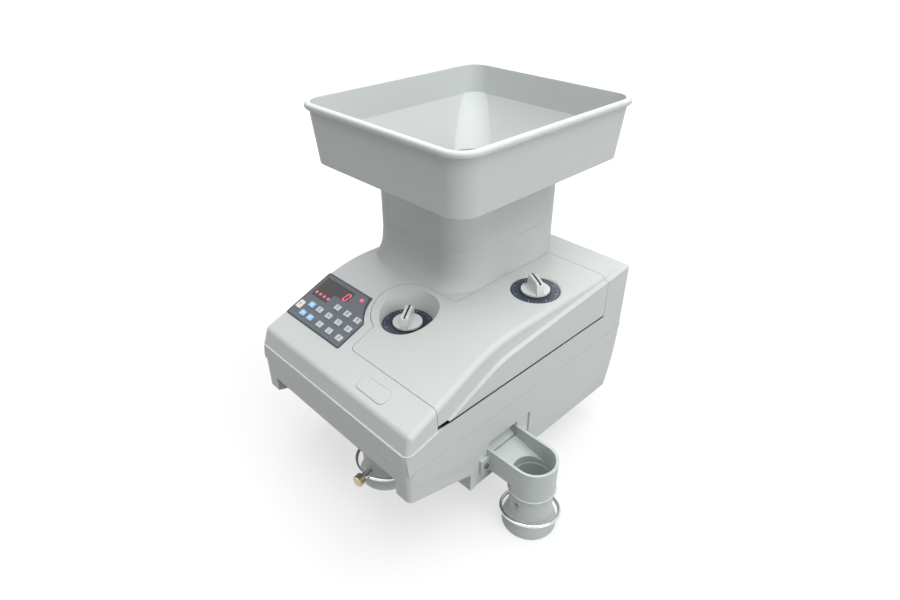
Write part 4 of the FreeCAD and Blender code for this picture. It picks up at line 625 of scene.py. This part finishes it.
class COINSORTER_OT_dials(bpy.types.Operator):
    """Finish the two dials: printed scales, and a near-black block in each knob's grip slot as painted shade
    """

    bl_idname = "coinsorter.dials"
    bl_label = "Dials"

    def scale_material(self, name, centre, look):
        """A printed ring of lines round a centre, every fifth one longer."""
        made, net, _, skin = moulded_material(name, look.print_field, 0.4, 0.0007, depth=0.00003)
        parts = net.add("ShaderNodeSeparateXYZ")
        shift = net.add("ShaderNodeVectorMath", operation="SUBTRACT")
        net.join(object_place(net), shift.inputs[0])
        shift.inputs[1].default_value = centre
        net.join(shift.outputs[0], parts.inputs[0])
        radius = net.reach(parts.outputs["X"], parts.outputs["Y"])
        angle = net.math("ARCTAN2", parts.outputs["Y"], parts.outputs["X"])
        turn = net.math("ADD", net.math("DIVIDE", angle, 2 * math.pi), 0.5)
        masks = []
        short, long = (look.ticks, 0.09, TICK_INNER), (look.ticks // 5, 0.032, LONG_TICK_INNER)
        for count, width, inner in (short, long):
            phase = net.math("FRACT", net.math("MULTIPLY", turn, count))
            line = net.between(phase, 0.5 - width / 2, 0.5 + width / 2)
            masks.append(net.math("MULTIPLY", line, net.between(radius, inner, TICK_OUTER)))
        # Near-black middle of the scale, out just past the knob
        dark_middle = net.math("LESS_THAN", radius, DARK_MIDDLE_RADIUS)
        field = net.mix(dark_middle, rgba(look.print_field), (0.004, 0.004, 0.005, 1.0))
        net.join(net.mix(net.math("MAXIMUM", *masks), field, rgba(look.print_line)), skin.inputs["Colour"])
        return made

    def execute(self, context):
        look = context.scene.coinsorter_dials
        housing = context.scene.coinsorter_housing
        plastic = moulding("Knob moulding", housing.knob, 0.3, 0.0009)
        # Near-black block laid in each knob's slot: painted shade of the slot, not a separate part
        dark = moulding("Painted slot shade", (0.012, 0.012, 0.013), 0.5, 0.0007)
        for label, turn in (("front", 125), ("rear", 150)):
            low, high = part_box(f"dial_scale_{label}")
            centre = (low + high) / 2
            dress((f"dial_scale_{label}",), self.scale_material(f"Scale print {label}", centre, look))
            knob = f"dial_knob_{label}"
            softened(knob, plastic, 0.0008)
            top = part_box(knob)[1].z
            bm = bmesh.new()
            heading = Matrix.Rotation(math.radians(turn), 4, "Z")
            place = Matrix.Translation((centre.x, centre.y, top)) @ heading
            # Painted shade: a near-black block sunk into the knob's grip slot
            bar(bm, (0.0, 0.0, -0.0011), (0.0130, 0.00105, 0.0007), place, 0.0002)
            finish_piece(f"{knob}_line", settle(bm, f"{knob}_line"), body_of_node(knob), dark)
        return {"FINISHED"}


class COINSORTER_OT_metalwork(bpy.types.Operator):
    """Finish the rings, screws, plates and the knurled thumb screw"""

    bl_idname = "coinsorter.metalwork"
    bl_label = "Metalwork"

    def thumb_screw(self, brass):
        """A knurled head on a plain stem, along the ring's radial line."""
        low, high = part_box("front_thumb_screw")
        ring_low, ring_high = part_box("front_outlet")
        axis_point = (ring_low + ring_high) / 2
        axis_point.z = (low.z + high.z) / 2
        outward = Vector((math.cos(SCREW_HEADING), math.sin(SCREW_HEADING), 0.0))
        place = Matrix.Translation(axis_point) @ outward.to_track_quat("Z", "Y").to_matrix().to_4x4()
        back = place.inverted()
        bm = bmesh.new()
        start, radius = HEAD_PROFILE[0]
        head = bmesh.ops.create_circle(bm, cap_ends=True, segments=72, radius=radius,
                                       matrix=place @ Matrix.Translation((0, 0, start)))
        face = head["verts"][0].link_faces[0]
        levels = []
        for (height, radius), (next_height, next_radius) in zip(HEAD_PROFILE, HEAD_PROFILE[1:]):
            face = bmesh.ops.extrude_discrete_faces(bm, faces=[face])["faces"][0]
            grow = Matrix.Diagonal((next_radius / radius, next_radius / radius, 1.0, 1.0))
            move = Matrix.Translation((0, 0, next_height)) @ grow @ Matrix.Translation((0, 0, -height))
            bmesh.ops.transform(bm, matrix=place @ move @ back, verts=face.verts)
            levels.append(list(face.verts))
        for ring in levels[:2]:
            for vert in ring[::2]:
                vert.co = place @ Matrix.Diagonal((KNURL, KNURL, 1.0, 1.0)) @ back @ vert.co
        stem = place @ Matrix.Translation((0, 0, (STEM_START + STEM_END) / 2))
        bmesh.ops.create_cone(bm, cap_ends=True, segments=24, radius1=STEM_RADIUS, radius2=STEM_RADIUS,
                              depth=STEM_END - STEM_START, matrix=stem)
        mesh = settle(bm, "thumb_screw_knurled", 25)
        piece = finish_piece("thumb_screw_knurled", mesh, "thumb_screw", brass)
        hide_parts("front_thumb_screw")

    def execute(self, context):
        look = context.scene.coinsorter_metal
        bright = metal_material("Plated ring", look.ring, 0.08, (300.0, 300.0, 300.0), 0.00001)
        for name in ("side_ring", "front_ring"):
            softened(name, bright, 0.0)
        steel = metal_material("Rolled steel", look.steel, 0.34, (45.0, 1000.0, 1000.0))
        dress(("deck_plate", "deck_posts", "hinge_brackets", "coin_rail", "diameter_rail", "thickness_gate",
               "catch_strike", "feed_shaft", "feed_bearing", "deck_screws", "hinge_pins"), steel)
        darker = [part * 0.6 for part in look.steel]
        screw = metal_material("Plated screw", darker, 0.24, (700.0, 700.0, 90.0))
        softened("chute_screws", screw, 0.0004)
        self.thumb_screw(metal_material("Turned brass", look.brass, 0.24, (800.0, 800.0, 800.0)))
        return {"FINISHED"}


class COINSORTER_OT_inside(bpy.types.Operator):
    """Finish the pieces inside the housing and the power fittings at the back"""

    bl_idname = "coinsorter.inside"
    bl_label = "Inside"

    def execute(self, context):
        dark = moulding("Inner moulding", (0.16, 0.17, 0.185), 0.5, 0.0012, marks=0.2)
        dress(("feed_bowl", "front_funnel", "belt_drive_pulley", "belt_idler_pulley", "count_sensor"), dark)
        disc = moulding("Feed disc", (0.30, 0.31, 0.32), 0.42, 0.0012, marks=0.3)
        dress(("feed_disc",), disc)
        black = moulding("Black moulding", (0.014, 0.014, 0.016), 0.45, 0.0010)
        for name in ("mains_inlet", "power_switch"):
            softened(name, black, 0.0004)
        green = moulding("Solder mask", (0.02, 0.11, 0.05), 0.35, 0.0030, drift=0.25)
        dress(("control_board", "main_board"), green)
        paint = moulding("Motor paint", (0.045, 0.048, 0.055), 0.4, 0.0018, drift=0.12)
        dress(("feed_motor", "belt_motor"), paint)
        iron = moulding("Sintered magnet", (0.05, 0.05, 0.052), 0.55, 0.0009)
        dress(("catch_magnet",), iron)
        return {"FINISHED"}


class COINSORTER_OT_stage(bpy.types.Operator):
    """Set up the floor, the studio lights, the world and the camera"""

    bl_idname = "coinsorter.stage"
    bl_label = "Stage"

    def in_sight(self, net):
        """1 for rays that see the stage itself: straight, mirrored or through glass."""
        ray = net.add("ShaderNodeLightPath")
        seen = net.math("MAXIMUM", ray.outputs["Is Camera Ray"], ray.outputs["Is Glossy Ray"])
        return net.math("MAXIMUM", seen, ray.outputs["Is Transmission Ray"])

    def floor(self, look):
        """A wide pale floor that fades to white away from the machine."""
        bm = bmesh.new()
        bmesh.ops.create_grid(bm, x_segments=1, y_segments=1, size=14.0,
                              matrix=Matrix.Translation((0, 0, look.floor_level)))
        mesh = bpy.data.meshes.new("floor")
        bm.to_mesh(mesh)
        bm.free()
        made, net, shader = blank_material("Pale floor")
        shade = net.noise(object_place(net), 1.5, 2.0, 0.5)
        net.join(net.mix(shade, rgba(look.floor), rgba([part * 0.985 for part in look.floor])),
                 shader.inputs["Base Color"])
        shader.inputs["Roughness"].default_value = 0.9
        shader.inputs["Specular IOR Level"].default_value = 0.0
        shader.inputs["Emission Color"].default_value = WHITE
        away = net.add("ShaderNodeVectorMath", operation="LENGTH")
        net.join(object_place(net), away.inputs[0])
        paler = net.spread(away.outputs["Value"], 0.35, 1.6, 0.62, 1.0)
        net.join(net.math("MULTIPLY", self.in_sight(net), paler), shader.inputs["Emission Strength"])
        mesh.materials.append(made)
        plane = bpy.data.objects.new("floor", mesh)
        bpy.context.scene.collection.objects.link(plane)

    def lamp(self, name, place, width, power):
        """A square area lamp aimed at the machine."""
        light = bpy.data.lights.new(name, "AREA")
        light.shape = "SQUARE"
        light.size = width
        light.energy = power
        thing = bpy.data.objects.new(name, light)
        bpy.context.scene.collection.objects.link(thing)
        thing.location = place
        thing.rotation_mode = "QUATERNION"
        thing.rotation_quaternion = (Vector(LAMP_AIM) - Vector(place)).to_track_quat("-Z", "Y")

    def world(self):
        """A white background that lights the scene only softly."""
        made = bpy.data.worlds.new("Studio")
        bpy.context.scene.world = made
        made.use_nodes = True
        made.node_tree.nodes.clear()
        net = Net(made.node_tree)
        back = net.add("ShaderNodeBackground")
        net.join(net.mix(self.in_sight(net), WORLD_LIGHT, WHITE), back.inputs["Color"])
        net.join(back.outputs[0], net.add("ShaderNodeOutputWorld").inputs["Surface"])

    def camera(self, look):
        """The camera of the photograph."""
        data = bpy.data.cameras.new("Photograph view")
        data.sensor_width = 36.0
        data.lens = look.camera_lens
        data.clip_start = 0.02
        data.clip_end = 60.0
        thing = bpy.data.objects.new("Photograph view", data)
        bpy.context.scene.collection.objects.link(thing)
        thing.location = look.camera_place
        thing.rotation_euler = (math.pi / 2 - look.camera_down, 0.0, look.camera_turn)
        bpy.context.scene.camera = thing

    def execute(self, context):
        look = context.scene.coinsorter_stage
        self.floor(look)
        for name, place, width, power in LAMPS:
            self.lamp(name, place, width, power)
        self.world()
        self.camera(look)
        context.scene.view_settings.view_transform = "Standard"
        return {"FINISHED"}


class COINSORTER_PT_looks(bpy.types.Panel):
    """Lists the steps that finish the machine"""

    bl_idname = "COINSORTER_PT_looks"
    bl_label = "Coin Sorter"
    bl_space_type = "VIEW_3D"
    bl_region_type = "UI"
    bl_category = "Coin Sorter"

    def draw(self, context):
        for step in STEPS:
            self.layout.operator(step.bl_idname)


STEPS = (COINSORTER_OT_surfaces, COINSORTER_OT_housing, COINSORTER_OT_keypad, COINSORTER_OT_dials,
         COINSORTER_OT_metalwork, COINSORTER_OT_inside, COINSORTER_OT_stage)
SETTINGS = {"coinsorter_housing": HousingSettings, "coinsorter_panel": PanelSettings,
            "coinsorter_dials": DialSettings, "coinsorter_metal": MetalSettings,
            "coinsorter_stage": StageSettings}


def register():
    for group in (*SETTINGS.values(), *STEPS, COINSORTER_PT_looks):
        bpy.utils.register_class(group)
    for name, group in SETTINGS.items():
        setattr(bpy.types.Scene, name, bpy.props.PointerProperty(type=group))


def unregister():
    for name in SETTINGS:
        delattr(bpy.types.Scene, name)
    for group in (COINSORTER_PT_looks, *reversed(STEPS), *reversed(SETTINGS.values())):
        bpy.utils.unregister_class(group)


def main():
    """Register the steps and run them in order."""
    register()
    for step in STEPS:
        family, action = step.bl_idname.split(".")
        getattr(getattr(bpy.ops, family), action)()


if __name__ == "__main__":
    main()
